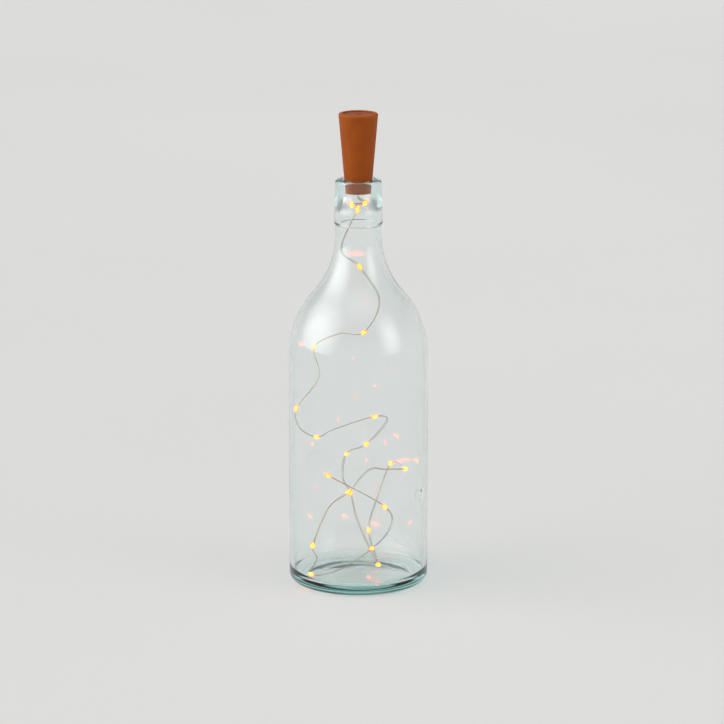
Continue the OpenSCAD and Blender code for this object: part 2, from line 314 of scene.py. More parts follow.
@dataclass(frozen=True)
class ClearGlass:
    """Clear bottle glass with a faint blue-green body and light handling smears.

    Attributes:
        kept: The absorption's colour, which thick glass takes on.
        density: Density of the absorption, per metre.
        shadow: Share of each colour that the glass lets through into its shadow.
        index: Index of refraction.
        clean: Roughness of the clean glass.
        smeared: Roughness that a smear adds.
        smear: Size of a smear in millimetres.
        touch: Size of the finer marks in it.
    """

    kept: Colour = (0.34, 0.80, 0.77)
    density: float = 20.0
    shadow: Colour = (0.93, 0.945, 0.943)
    index: float = 1.5
    clean: float = 0.003
    smeared: float = 0.022
    smear: float = 19.0
    touch: float = 2.4

    def material(self) -> bpy.types.Material:
        """Makes the glass material.

        Returns:
            The new material.
        """
        material, graph = new_graph("clear_glass")
        smears = (graph.noise(self.smear, 3.0) * 0.65 + graph.noise(self.touch, 2.0) * 0.35).step(0.5, 0.78)
        glass = graph.node(
            "ShaderNodeBsdfPrincipled",
            None,
            {
                "Base Color": (1.0, 1.0, 1.0),
                "Roughness": self.clean + smears * self.smeared,
                "IOR": self.index,
                "Transmission Weight": 1.0,
            },
        )
        through = graph.node("ShaderNodeBsdfTransparent", None, {"Color": self.shadow})
        path = graph.node("ShaderNodeLightPath")
        both = graph.node(
            "ShaderNodeMixShader",
            None,
            {0: path.outputs["Is Shadow Ray"], 1: glass.outputs[0], 2: through.outputs[0]},
        )
        body = graph.node("ShaderNodeVolumeAbsorption", None, {"Color": self.kept, "Density": self.density})
        ends = {"Surface": both.outputs[0], "Volume": body.outputs[0]}
        graph.node("ShaderNodeOutputMaterial", None, ends)
        return material


@dataclass(frozen=True)
class Moulded:
    """Moulded plastic or rubber with fine grain, soft mottling and slight rubbing.

    Attributes:
        name: The material's name.
        colour: The main colour.
        roughness: The mean roughness.
        mottle: How much lighter and darker the patches are, as a share.
        patch: Size of a patch in millimetres.
        grain: Size of the grain in millimetres.
        depth: Depth of the grain in millimetres.
        rubbed: Colour of the rubbed places.
        gloss: Level of the surface reflection.
    """

    name: str
    colour: Colour
    roughness: float
    mottle: float = 0.12
    patch: float = 5.0
    grain: float = 0.35
    depth: float = 0.03
    rubbed: Optional[Colour] = None
    gloss: float = 0.4

    def material(self) -> bpy.types.Material:
        """Makes the moulded material.

        Returns:
            The new material.
        """
        material, graph = new_graph(self.name)
        patches = graph.noise(self.patch, 3.0)
        specks = graph.noise(self.grain * 2.2, 2.0)
        dark = tuple(c * (1.0 - self.mottle) for c in self.colour)
        light = tuple(min(1.0, c * (1.0 + self.mottle)) for c in self.colour)
        colour = graph.mix(patches.step(0.3, 0.7), dark, light)
        colour = graph.mix(specks.step(0.55, 0.8) * 0.35, colour, light)
        worn = (graph.noise(self.patch * 0.5, 4.0) * 0.6 + specks * 0.4).step(0.56, 0.72)
        if self.rubbed is not None:
            colour = graph.mix(worn * 0.4, colour, self.rubbed)
        grain = graph.noise(self.grain, 4.0) * 0.75 + graph.noise(self.patch * 0.7, 1.0) * 0.9
        show(
            graph,
            {
                "Base Color": colour,
                "Roughness": self.roughness - 0.07 + patches * 0.1 + worn * 0.05,
                "Specular IOR Level": self.gloss,
                "Normal": graph.relief(grain, self.depth, 0.7),
            },
        )
        return material


@dataclass(frozen=True)
class Stopper:
    """The stopper's matte cork-coloured moulding, with painted shade where it meets the glass and a lighter
    top edge that is partly rubbed and partly a painted highlight.

    Attributes:
        colour: The main colour.
        dark: The darker colour of the mottling, which also paints shade low down, where the stopper enters
            the glass.
        pale: The colour of the lighter top edge, which is partly rubbing and partly a painted highlight.
        roughness: The mean roughness.
        gloss: Level of the surface reflection.
        patch: Size of a lighter or darker patch in millimetres.
        flow: Size of the moulding's flow marks.
        speck: Size of a speck.
        grain: Size of the surface grain.
        depth: Depth of the grain.
        low: Height of the glass rim in millimetres.
        high: Height of the stopper's top in millimetres.
        seat_shade_fade: Where the painted shade at the foot ends, below and above the glass rim.
        wear_and_highlight_fade: Where the lighter top edge, rubbing with a painted highlight, starts and is
            full, against the stopper's top.
    """

    colour: Colour = (0.315, 0.068, 0.004)
    dark: Colour = (0.255, 0.050, 0.003)
    pale: Colour = (0.390, 0.098, 0.012)
    roughness: float = 0.52
    gloss: float = 0.14
    patch: float = 7.0
    flow: float = 5.0
    speck: float = 0.5
    grain: float = 0.42
    depth: float = 0.045
    low: float = 259.5
    high: float = 301.5
    seat_shade_fade: Point = (-4.5, 2.5)
    wear_and_highlight_fade: Point = (-1.2, 2.2)

    def material(self) -> bpy.types.Material:
        """Makes the stopper's material.

        Returns:
            The new material.
        """
        material, graph = new_graph("stopper_moulding")
        height = graph.upright(graph.place()) * TO_MM
        patches = graph.noise(self.patch, 4.0)
        flow = graph.noise(self.flow, 2.0, (1.0, 1.0, 0.5))
        specks = graph.noise(self.speck, 2.0)
        colour = graph.mix((patches * 0.6 + flow * 0.4).step(0.25, 0.7), self.dark, self.colour)
        colour = graph.mix(0.55 * specks.step(0.45, 0.85), colour, self.colour)
        # Lighter top edge: rubbing, with a painted highlight where the edge catches the light.
        rim = (height + flow * 2.5).step(self.high + self.wear_and_highlight_fade[0], self.high + self.wear_and_highlight_fade[1])
        colour = graph.mix(rim * 0.55, colour, self.pale)
        # Painted shade: a darker band around the glass rim, where the stopper enters the neck.
        free = (height - patches * 4.0).step(self.low + self.seat_shade_fade[0], self.low + self.seat_shade_fade[1])
        seat = 1.0 - free
        colour = graph.mix(seat * 0.5, colour, self.dark)
        grain = graph.noise(self.grain, 4.0) * 0.5 + graph.noise(self.flow * 0.9, 1.0) * 1.2
        show(
            graph,
            {
                "Base Color": colour,
                "Roughness": self.roughness + patches * 0.1 - seat * 0.1 - rim * 0.06,
                "Specular IOR Level": self.gloss,
                "Normal": graph.relief(grain, self.depth, 0.8),
            },
        )
        return material


class Lay(Enum):
    """Direction of a metal's drawing or brushing marks, as closeness along each axis."""

    AROUND = (0.25, 0.25, 3.0)
    ALONG = (2.5, 2.5, 0.2)
    EVEN = (1.0, 1.0, 1.0)


@dataclass(frozen=True)
class Metal:
    """Bare or plated metal with drawing marks and light tarnish.

    Attributes:
        name: The material's name.
        colour: The clean colour.
        tarnish: The tarnished colour.
        roughness: The mean roughness.
        lay: The direction of the marks.
        marks: Size of the marks in millimetres.
        spread: How much of it is tarnished, from 0 to 1.
        patch: Size of a tarnished patch.
        depth: Depth of the marks.
    """

    name: str
    colour: Colour
    tarnish: Colour
    roughness: float
    lay: Lay = Lay.EVEN
    marks: float = 0.5
    spread: float = 0.4
    patch: float = 3.0
    depth: float = 0.012

    def material(self) -> bpy.types.Material:
        """Makes the metal material.

        Returns:
            The new material.
        """
        material, graph = new_graph(self.name)
        marks = graph.noise(self.marks, 4.0, self.lay.value)
        patches = graph.noise(self.patch, 3.0)
        start = 0.66 - 0.25 * self.spread
        stained = (patches * 0.7 + marks * 0.3).step(start, start + 0.2)
        show(
            graph,
            {
                "Base Color": graph.mix(stained * 0.75, self.colour, self.tarnish),
                "Metallic": 1.0,
                "Roughness": self.roughness - 0.08 + marks * 0.16 + stained * 0.14,
                "Normal": graph.relief(marks, self.depth, 0.5),
            },
        )
        return material


@dataclass(frozen=True)
class FineWire:
    """Varnished fine wire, silvery with a warm tan cast.

    Attributes:
        bright: The bright silver colour.
        warm: The warm colour where the varnish is thicker.
        run: Length of a thicker stretch in millimetres.
        bead: Size of a bead of varnish.
        depth: Depth of the beads.
    """

    bright: Colour = (0.50, 0.43, 0.33)
    warm: Colour = (0.37, 0.255, 0.14)
    run: float = 9.0
    bead: float = 0.8
    depth: float = 0.02

    def material(self) -> bpy.types.Material:
        """Makes the wire material.

        Returns:
            The new material.
        """
        material, graph = new_graph("fine_wire")
        runs = graph.noise(self.run, 2.0)
        beads = graph.noise(self.bead, 2.0)
        thick = (runs * 0.7 + beads * 0.3).step(0.4, 0.62)
        show(
            graph,
            {
                "Base Color": graph.mix(thick, self.bright, self.warm),
                "Metallic": 1.0,
                "Roughness": 0.24 + thick * 0.12 + beads * 0.06,
                "Coat Weight": 0.35 + 0.4 * thick,
                "Coat Roughness": 0.12,
                "Normal": graph.relief(beads, self.depth, 0.5),
            },
        )
        return material


@dataclass(frozen=True)
class WarmResin:
    """Clear cast resin over a light, glowing amber towards its middle.

    Attributes:
        tint: The resin's own colour.
        middle: The glow over the chip.
        ends: The glow at the pointed ends.
        strength: The strength of the glow.
        clear: How clear the resin is, from 0 to 1.
        index: Index of refraction.
        swirl: Size of a swirl in the resin, in millimetres.
        depth: Depth of the swirls on its surface.
    """

    tint: Colour = (0.95, 0.25, 0.07)
    middle: Colour = (1.0, 0.36, 0.02)
    ends: Colour = (0.72, 0.12, 0.001)
    strength: float = 0.5
    clear: float = 0.34
    index: float = 1.45
    swirl: float = 0.9
    depth: float = 0.06

    def material(self) -> bpy.types.Material:
        """Makes the resin material.

        Returns:
            The new material.
        """
        material, graph = new_graph("warm_resin")
        heat = graph.heat()
        swirl = graph.noise(self.swirl, 3.0)
        share = (heat + swirl * 0.5 - 0.25).step(0.15, 0.95)
        show(
            graph,
            {
                "Base Color": self.tint,
                "Roughness": 0.04 + swirl.step(0.4, 0.8) * 0.1,
                "IOR": self.index,
                "Transmission Weight": self.clear,
                "Emission Color": graph.mix(share, self.ends, self.middle),
                "Emission Strength": self.strength,
                "Normal": graph.relief(swirl, self.depth, 0.6),
            },
        )
        material.cycles.emission_sampling = "NONE"
        return material


@dataclass(frozen=True)
class Phosphor:
    """Lit phosphor, nearly white over the chip and orange away from it.

    Attributes:
        name: The material's name.
        hot: The glow over the chip.
        cool: The glow at the edge.
        strength: The strength of the glow.
        powder: The phosphor's own colour over the chip.
        thin: Its own colour at the edge.
        grain: Size of its grain in millimetres.
    """

    name: str
    hot: Colour = (1.0, 0.95, 0.90)
    cool: Colour = (1.0, 0.24, 0.015)
    strength: float = 38.0
    powder: Colour = (0.90, 0.78, 0.36)
    thin: Colour = (0.72, 0.42, 0.08)
    grain: float = 0.35

    def material(self) -> bpy.types.Material:
        """Makes the phosphor material.

        Returns:
            The new material.
        """
        material, graph = new_graph(self.name)
        heat = graph.heat()
        grain = graph.noise(self.grain, 3.0)
        share = (heat + grain * 0.6 - 0.3).step(0.05, 0.9)
        show(
            graph,
            {
                "Base Color": graph.mix(share, self.thin, self.powder),
                "Roughness": 0.45 + grain * 0.2,
                "Emission Color": graph.mix(share, self.cool, self.hot),
                "Emission Strength": self.strength,
            },
        )
        material.cycles.emission_sampling = "NONE"
        return material


@dataclass(frozen=True)
class BoardMask:
    """Green solder mask over copper tracks, with a woven glass-fibre look at the edge.

    Attributes:
        mask: The mask's colour over bare board.
        track: The mask's colour over copper.
        fibre: The mask's colour where the glass fibre shows.
        start: Where the pattern of tracks starts, in its own cells.
        cell: Side of a cell of the pattern in millimetres.
        field_l: Length of a field between tracks, in cells.
        field_w: Width of such a field.
        track_w: Width of a track.
        weave: Size of the fibre's weave in millimetres.
        depth: Height of the tracks.
    """

    mask: Colour = (0.012, 0.115, 0.040)
    track: Colour = (0.040, 0.225, 0.075)
    fibre: Colour = (0.06, 0.24, 0.10)
    start: Place = (0.37, 0.21, 0.0)
    cell: float = 10.0 / 3.0
    field_l: float = 1.1
    field_w: float = 0.62
    track_w: float = 0.11
    weave: float = 0.5
    depth: float = 0.035

    def material(self) -> bpy.types.Material:
        """Makes the board material.

        Returns:
            The new material.
        """
        material, graph = new_graph("board_mask")
        cells = 1.0 / (self.cell * MM)
        flat = graph.vector("MULTIPLY", graph.place(), (cells, cells, 0.0))
        bricks = graph.node(
            "ShaderNodeTexBrick",
            {"offset": 0.5, "squash": 0.7},
            {
                "Vector": graph.vector("ADD", flat, self.start),
                "Scale": 1.0,
                "Mortar Size": self.track_w,
                "Mortar Smooth": 0.25,
                "Brick Width": self.field_l,
                "Row Height": self.field_w,
            },
        )
        tracks = Signal(graph, bricks.outputs["Fac"])
        weave = graph.noise(self.weave, 1.0, (1.0, 1.0, 0.2))
        colour = graph.mix(tracks, self.mask, self.track)
        colour = graph.mix(weave.step(0.5, 0.8) * 0.25, colour, self.fibre)
        show(
            graph,
            {
                "Base Color": colour,
                "Roughness": 0.3 + weave * 0.12,
                "Coat Weight": 0.2 + tracks * 0.3,
                "Normal": graph.relief(tracks + weave * 0.2, self.depth, 0.7),
            },
        )
        return material


@dataclass(frozen=True)
class PaleFloor:
    """Plain pale studio surface with a barely uneven tone.

    Attributes:
        colour: The surface's colour.
        darker: The share of it that the darker places keep.
        cloud: Size of a darker place in millimetres.
        tooth: Size of the surface's tooth.
        roughness: The least roughness.
        gloss: Level of the surface reflection.
    """

    colour: Colour = (0.70, 0.70, 0.695)
    darker: float = 0.975
    cloud: float = 900.0
    tooth: float = 3.0
    roughness: float = 0.85
    gloss: float = 0.05

    def material(self) -> bpy.types.Material:
        """Makes the floor material.

        Returns:
            The new material.
        """
        material, graph = new_graph("pale_floor")
        cloud = graph.noise(self.cloud, 2.0)
        tooth = graph.noise(self.tooth, 3.0)
        darker = tuple(c * self.darker for c in self.colour)
        show(
            graph,
            {
                "Base Color": graph.mix(cloud.step(0.3, 0.7), darker, self.colour),
                "Roughness": self.roughness + tooth * 0.1,
                "Specular IOR Level": self.gloss,
            },
        )
        return material


class Finishes:
    """Every finish of the object, made once."""

    def __init__(self) -> None:
        """Makes the materials."""
        self.glass = ClearGlass().material()
        self.stopper = Stopper().material()
        self.cap = Moulded(
            "cap_moulding", (0.265, 0.055, 0.004), 0.5,
            mottle=0.14, patch=3.0, grain=0.3, depth=0.035, rubbed=(0.35, 0.085, 0.012), gloss=0.14,
        ).material()
        self.tray = Moulded(
            "tray_moulding", (0.028, 0.028, 0.028), 0.46,
            mottle=0.25, patch=4.0, grain=0.3, rubbed=(0.075, 0.072, 0.068),
        ).material()
        self.slider = Moulded(
            "slider_moulding", (0.018, 0.018, 0.019), 0.4,
            mottle=0.3, patch=1.2, grain=0.2, depth=0.02, rubbed=(0.09, 0.088, 0.085),
        ).material()
        self.rubber = Moulded(
            "grommet_rubber", (0.035, 0.033, 0.031), 0.62,
            mottle=0.25, patch=1.5, grain=0.25, rubbed=(0.10, 0.095, 0.09),
        ).material()
        self.gasket = Moulded(
            "cell_gasket", (0.10, 0.115, 0.13), 0.35, mottle=0.1, patch=2.0, grain=0.2, depth=0.01
        ).material()
        self.ceramic = Moulded(
            "resistor_ceramic", (0.022, 0.022, 0.026), 0.35, mottle=0.2, patch=0.8, grain=0.12, depth=0.01
        ).material()
        self.red = Moulded(
            "lead_red", (0.50, 0.022, 0.014), 0.34,
            mottle=0.14, patch=2.5, grain=0.3, depth=0.02, rubbed=(0.62, 0.10, 0.07),
        ).material()
        self.black = Moulded(
            "lead_black", (0.016, 0.016, 0.018), 0.34,
            mottle=0.3, patch=2.5, grain=0.3, depth=0.02, rubbed=(0.06, 0.06, 0.062),
        ).material()
        self.steel = Metal(
            "nickel_steel", (0.66, 0.64, 0.60), (0.42, 0.38, 0.32), 0.3, marks=0.3, spread=0.35
        ).material()
        self.cell = Metal(
            "cell_case", (0.74, 0.735, 0.71), (0.52, 0.50, 0.46), 0.24, lay=Lay.AROUND, spread=0.2
        ).material()
        self.brass = Metal(
            "contact_brass", (0.83, 0.62, 0.27), (0.50, 0.30, 0.10), 0.27, lay=Lay.ALONG, spread=0.35
        ).material()
        self.solder = Metal(
            "bright_solder", (0.76, 0.76, 0.75), (0.50, 0.50, 0.48), 0.22, marks=0.6, spread=0.45
        ).material()
        self.wire = FineWire().material()
        self.resin = WarmResin().material()
        self.glow = Phosphor("lit_phosphor").material()
        self.chip = Phosphor(
            "lit_chip", hot=(1.0, 0.74, 0.30), cool=(1.0, 0.60, 0.16), strength=13.0
        ).material()
        self.board = BoardMask().material()
        self.floor = PaleFloor().material()


# Forms


def arc(centre: Point, radius: float, start: float, end: float, steps: int) -> list[Point]:
    """Points of an arc.

    Args:
        centre: Its centre.
        radius: Its radius.
        start: Its first angle in degrees.
        end: Its last angle in degrees.
        steps: How many parts it has.

    Returns:
        The points, one more than the parts.
    """
    turns = [math.radians(start + (end - start) * i / steps) for i in range(steps + 1)]
    return [(centre[0] + radius * math.cos(a), centre[1] + radius * math.sin(a)) for a in turns]


def rising(values: np.ndarray, start: float, length: float) -> np.ndarray:
    """Rises from 0 to 1 over a length and stays there.

    Args:
        values: The places.
        start: The place at which it leaves 0.
        length: How far from there it reaches 1.

    Returns:
        The value at each place.
    """
    return np.clip((values - start) / length, 0.0, 1.0)


def softened(outline: Sequence[Point], radius: float, steps: int = 4) -> list[Point]:
    """Rounds the corners of an outline and keeps its two ends.

    Args:
        outline: The corners.
        radius: The radius of the rounding, which short sides reduce.
        steps: How many parts each rounding has.

    Returns:
        The rounded outline.
    """
    straight, most = -0.985, 0.45
    corners = [np.array(p, float) for p in outline]
    made = [outline[0]]
    for behind, here, beyond in zip(corners, corners[1:], corners[2:]):
        back, ahead = behind - here, beyond - here
        long_back, long_ahead = np.linalg.norm(back), np.linalg.norm(ahead)
        back, ahead = back / long_back, ahead / long_ahead
        cosine = float(np.clip(back @ ahead, -1.0, 1.0))
        if cosine < straight:
            made.append((float(here[0]), float(here[1])))
            continue
        reach = min(radius / math.tan(math.acos(cosine) / 2.0), most * long_back, most * long_ahead)
        first, last = here + back * reach, here + ahead * reach
        for k in range(steps + 1):
            t = k / steps
            spot = (1 - t) ** 2 * first + 2 * t * (1 - t) * here + t * t * last
            made.append((float(spot[0]), float(spot[1])))
    made.append(outline[-1])
    return made


def divided(outline: Sequence[Point], longest: float) -> list[Point]:
    """Splits the long sides of an outline.

    Args:
        outline: The corners.
        longest: The longest side that is left, in millimetres.

    Returns:
        The outline with added points.
    """
    made = [outline[0]]
    for a, b in zip(outline, outline[1:]):
        parts = max(1, math.ceil(math.dist(a, b) / longest))
        for k in range(1, parts + 1):
            made.append((a[0] + (b[0] - a[0]) * k / parts, a[1] + (b[1] - a[1]) * k / parts))
    return made


Shift = Callable[[np.ndarray, np.ndarray, np.ndarray], tuple[np.ndarray, np.ndarray]]


class Form:
    """Points and faces of a piece in the making, in millimetres."""

    def __init__(self) -> None:
        """Starts an empty form."""
        self.points: list[np.ndarray] = []
        self.heat: list[np.ndarray] = []
        self.faces: list[tuple[int, ...]] = []
        self.parts: list[int] = []
        self.count = 0

    def add(
        self,
        points: np.ndarray,
        faces: Sequence[tuple[int, ...]],
        part: int = 0,
        heat: Optional[np.ndarray] = None,
    ) -> None:
        """Adds points and faces.

        Args:
            points: The points, one row each.
            faces: Faces that number these points from 0.
            part: Which of the piece's finishes the faces take.
            heat: How warm each point glows, from 0 to 1.
        """
        self.points.append(np.asarray(points, float))
        self.heat.append(np.zeros(len(points)) if heat is None else heat)
        self.faces += [tuple(i + self.count for i in face) for face in faces]
        self.parts += [part] * len(faces)
        self.count += len(points)

    def lathe(
        self,
        outline: Sequence[Point],
        segments: int,
        closed: bool = False,
        centre: Point = (0.0, 0.0),
        part: int = 0,
        shift: Optional[Shift] = None,
    ) -> "Form":
        """Turns an outline about the upright axis.

        Args:
            outline: Radius and height of each point. A radius of 0 at an end closes that end.
            segments: How many parts the turn has.
            closed: True if the outline is a closed ring.
            centre: Where the axis stands.
            part: Which finish the faces take.
            shift: Gives each point's added radius and height from its angle, radius and height.

        Returns:
            The form itself.
        """
        radius = np.array([p[0] for p in outline])
        height = np.array([p[1] for p in outline])
        angle = np.linspace(0.0, 2.0 * math.pi, segments, endpoint=False)
        a, r = np.meshgrid(angle, radius)
        z = np.repeat(height[:, None], segments, axis=1)
        if shift is not None:
            more_r, more_z = shift(a, r, z)
            r, z = r + more_r, z + more_z
        ring = np.stack([centre[0] + r * np.cos(a), centre[1] + r * np.sin(a), z], -1)
        on_axis = radius < 1e-6
        points: list[np.ndarray] = []
        index = np.zeros((len(outline), segments), int)
        total = 0
        for i in range(len(outline)):
            if on_axis[i]:
                points.append(ring[i, :1])
                index[i] = total
                total += 1
            else:
                points.append(ring[i])
                index[i] = total + np.arange(segments)
                total += segments
        faces: list[tuple[int, ...]] = []
        rows = list(range(len(outline))) + ([0] if closed else [])
        for low, high in zip(rows, rows[1:]):
            for k in range(segments):
                n = (k + 1) % segments
                corners = [index[low, k], index[low, n], index[high, n], index[high, k]]
                face = tuple(dict.fromkeys(int(c) for c in corners))
                if len(face) > 2:
                    faces.append(face)
        self.add(np.vstack(points), faces, part)
        return self

    def tube(self, centres: np.ndarray, sides: np.ndarray, radius: float, around: int) -> "Form":
        """Runs a round tube along points.

        Args:
            centres: The centreline, one row each.
            sides: A direction across the tube at each point.
            radius: The tube's radius.
            around: How many faces it has around.

        Returns:
            The form itself.
        """
        along = np.gradient(centres, axis=0)
        along /= np.linalg.norm(along, axis=1, keepdims=True)
        first = sides - np.sum(sides * along, axis=1, keepdims=True) * along
        first /= np.linalg.norm(first, axis=1, keepdims=True)
        second = np.cross(along, first)
        turn = np.linspace(0.0, 2.0 * math.pi, around, endpoint=False)
        ring = (
            centres[:, None, :]
            + radius * np.cos(turn)[None, :, None] * first[:, None, :]
            + radius * np.sin(turn)[None, :, None] * second[:, None, :]
        )
        count = len(centres)
        faces: list[tuple[int, ...]] = []
        for i in range(count - 1):
            for k in range(around):
                n = (k + 1) % around
                faces.append((i * around + k, i * around + n, (i + 1) * around + n, (i + 1) * around + k))
        faces.append(tuple(range(around))[::-1])
        faces.append(tuple(range((count - 1) * around, count * around)))
        self.add(ring.reshape(-1, 3), faces)
        return self

    def block(self, low: Place, high: Place, bevel: float, part: int = 0) -> "Form":
        """Adds a block with rounded edges.

        Args:
            low: Its lowest corner.
            high: Its highest corner.
            bevel: The rounding of its edges.
            part: Which finish the faces take.

        Returns:
            The form itself.
        """
        middle = (np.array(low) + np.array(high)) / 2
        half = (np.array(high) - np.array(low)) / 2
        solid = bmesh.new()
        bmesh.ops.create_cube(solid, size=2.0)
        for v in solid.verts:
            v.co = Vector(middle + np.array(v.co) * half)
        bmesh.ops.bevel(solid, geom=solid.edges[:], offset=bevel, segments=3, profile=0.5, affect="EDGES")
        solid.verts.index_update()
        points = np.array([v.co for v in solid.verts])
        faces = [tuple(v.index for v in f.verts) for f in solid.faces]
        solid.free()
        self.add(points, faces, part)
        return self

    def make(
        self, name: str, slot: str, finishes: Sequence[bpy.types.Material], sharp: float = SOME_SHARP
    ) -> bpy.types.Object:
        """Makes the Blender object.

        Args:
            name: The piece's name.
            slot: The name of a material slot; not used.
            finishes: The materials of its parts in order.
            sharp: Edges sharper than this many degrees stay sharp.

        Returns:
            The new object.
        """
        mesh = bpy.data.meshes.new(name)
        mesh.from_pydata((np.vstack(self.points) * MM).tolist(), [], self.faces)
        for finish in finishes:
            mesh.materials.append(finish)
        mesh.polygons.foreach_set("material_index", np.array(self.parts, np.int32))
        solid = bmesh.new()
        solid.from_mesh(mesh)
        bmesh.ops.recalc_face_normals(solid, faces=solid.faces[:])
        solid.to_mesh(mesh)
        solid.free()
        mesh.shade_smooth()
        mesh.set_sharp_from_angle(angle=math.radians(sharp))
        heat = np.concatenate(self.heat)
        if heat.any():
            mesh.attributes.new(HEAT, "FLOAT", "POINT").data.foreach_set("value", heat.astype(np.float32))
        piece = bpy.data.objects.new(name, mesh)
        bpy.context.scene.collection.objects.link(piece)
        LOG.info("%s: %d points, %d faces", name, len(mesh.vertices), len(mesh.polygons))
        return piece


def dress(node: str, finish: bpy.types.Material) -> None:
    """Gives a CAD node that keeps its shape a better material.

    Args:
        node: The node's name.
        finish: The material.
    """
    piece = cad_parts[node]
    if not piece.material_slots:
        piece.data.materials.append(finish)
    for holder in piece.material_slots:
        holder.material = finish
    LOG.info("%s: CAD shape with %s", node, finish.name)


# Sub-assemblies


@dataclass
class Viewpoint:
    """The camera at the photograph's angle.

    Attributes:
        target: The point that it looks at, in millimetres.
        distance: Its distance from that point, in millimetres.
        rise: Its elevation in degrees.
        pixels: Focal length in pixels of the square picture.
        picture: Side of the picture in pixels.
        sensor: Width of the camera's sensor in millimetres.
        nearest: Nearest distance that it sees, in metres.
        farthest: Farthest distance that it sees, in metres.
    """

    target: Place = (2.3, 0.0, 142.2)
    distance: float = 2762.0
    rise: float = 13.0
    pixels: float = 4370.0
    picture: int = 724
    sensor: float = 36.0
    nearest: float = 0.05
    farthest: float = 80.0

    def build(self) -> None:
        """Makes the camera and looks through it."""
        data = bpy.data.cameras.new("viewpoint")
        data.sensor_width = self.sensor
        data.lens = self.pixels / self.picture * self.sensor
        data.clip_start, data.clip_end = self.nearest, self.farthest
        camera = bpy.data.objects.new("viewpoint", data)
        bpy.context.scene.collection.objects.link(camera)
        angle = math.radians(self.rise)
        back = Vector((0.0, -math.cos(angle), math.sin(angle)))
        camera.location = (Vector(self.target) + back * self.distance) * MM
        camera.rotation_euler = (-back).to_track_quat("-Z", "Y").to_euler()
        bpy.context.scene.camera = camera
        LOG.info("camera at %s", tuple(round(v, 3) for v in camera.location))


class Strand(Enum):
    """The two strands of the light wire, as the side of the route that each keeps to."""

    A = 1
    B = -1


@dataclass(frozen=True)
class Drop:
    """The shape of a rounded body on the wire, made about its own middle.

    Attributes:
        half: Half sizes across the strands, above them and along them.
        glow_l: Distance along the wire at which the glow fades.
        uneven: How far it strays from its round shape, as a share.
        pointed: 0 for rounded ends and 1 for pointed ones.
        lean: How far its thickest place may lie off its middle, as a share of the half length.
        rings: Parts along it.
        around: Parts around it.
    """

    half: Place
    glow_l: float
    uneven: float
    pointed: float
    lean: float = 0.22
    rings: int = 14
    around: int = 20

    def body(self, number: int) -> "Form":
        """Makes one body.

        Args:
            number: Its number on the wire, which gives it a shape of its own.

        Returns:
            The form with the body.
        """
        phase = 1.7 * number
        grown = 0.95 + 0.05 * math.sin(2.3 * number)
        lean = self.lean * math.sin(1.3 * number + 0.6)
        points, heat = [], []
        for i in range(self.rings + 1):
            v = -math.cos(math.pi * i / self.rings)
            at = abs(v - lean * (1.0 - v * v))
            swell = (1.0 - at**2.0) ** 0.5 * (1.0 - self.pointed) + (1.0 - at**1.7) ** 0.8 * self.pointed
            for k in range(1 if i in (0, self.rings) else self.around):
                a = 2.0 * math.pi * k / self.around
                lumps = math.sin(2 * a + phase) * 0.6 + math.sin(3 * a - phase + 2.2 * v) * 0.4
                wide = swell * (1.0 + self.uneven * lumps) * grown
                x = self.half[0] * wide * math.cos(a)
                y = self.half[1] * wide * math.sin(a)
                z = self.half[2] * v
                points.append((x, y, z))
                heat.append(math.exp(-((z / self.glow_l) ** 2)) * (0.85 + 0.15 * math.sin(a)))
        form = Form()
        form.add(np.array(points), self._faces(), 0, np.array(heat))
        return form

    def _faces(self) -> list[tuple[int, ...]]:
        """Joins the rings of a body and its two end points.

        Returns:
            The faces, which number the points from one end to the other.
        """
        faces: list[tuple[int, ...]] = []
        for i in range(self.rings):
            low = 0 if i == 0 else 1 + (i - 1) * self.around
            high = 1 + i * self.around
            for k in range(self.around):
                n = (k + 1) % self.around
                if i == 0:
                    faces.append((0, high + n, high + k))
                elif i == self.rings - 1:
                    faces.append((low + k, low + n, high))
                else:
                    faces.append((low + k, low + n, high + n, high + k))
        return faces


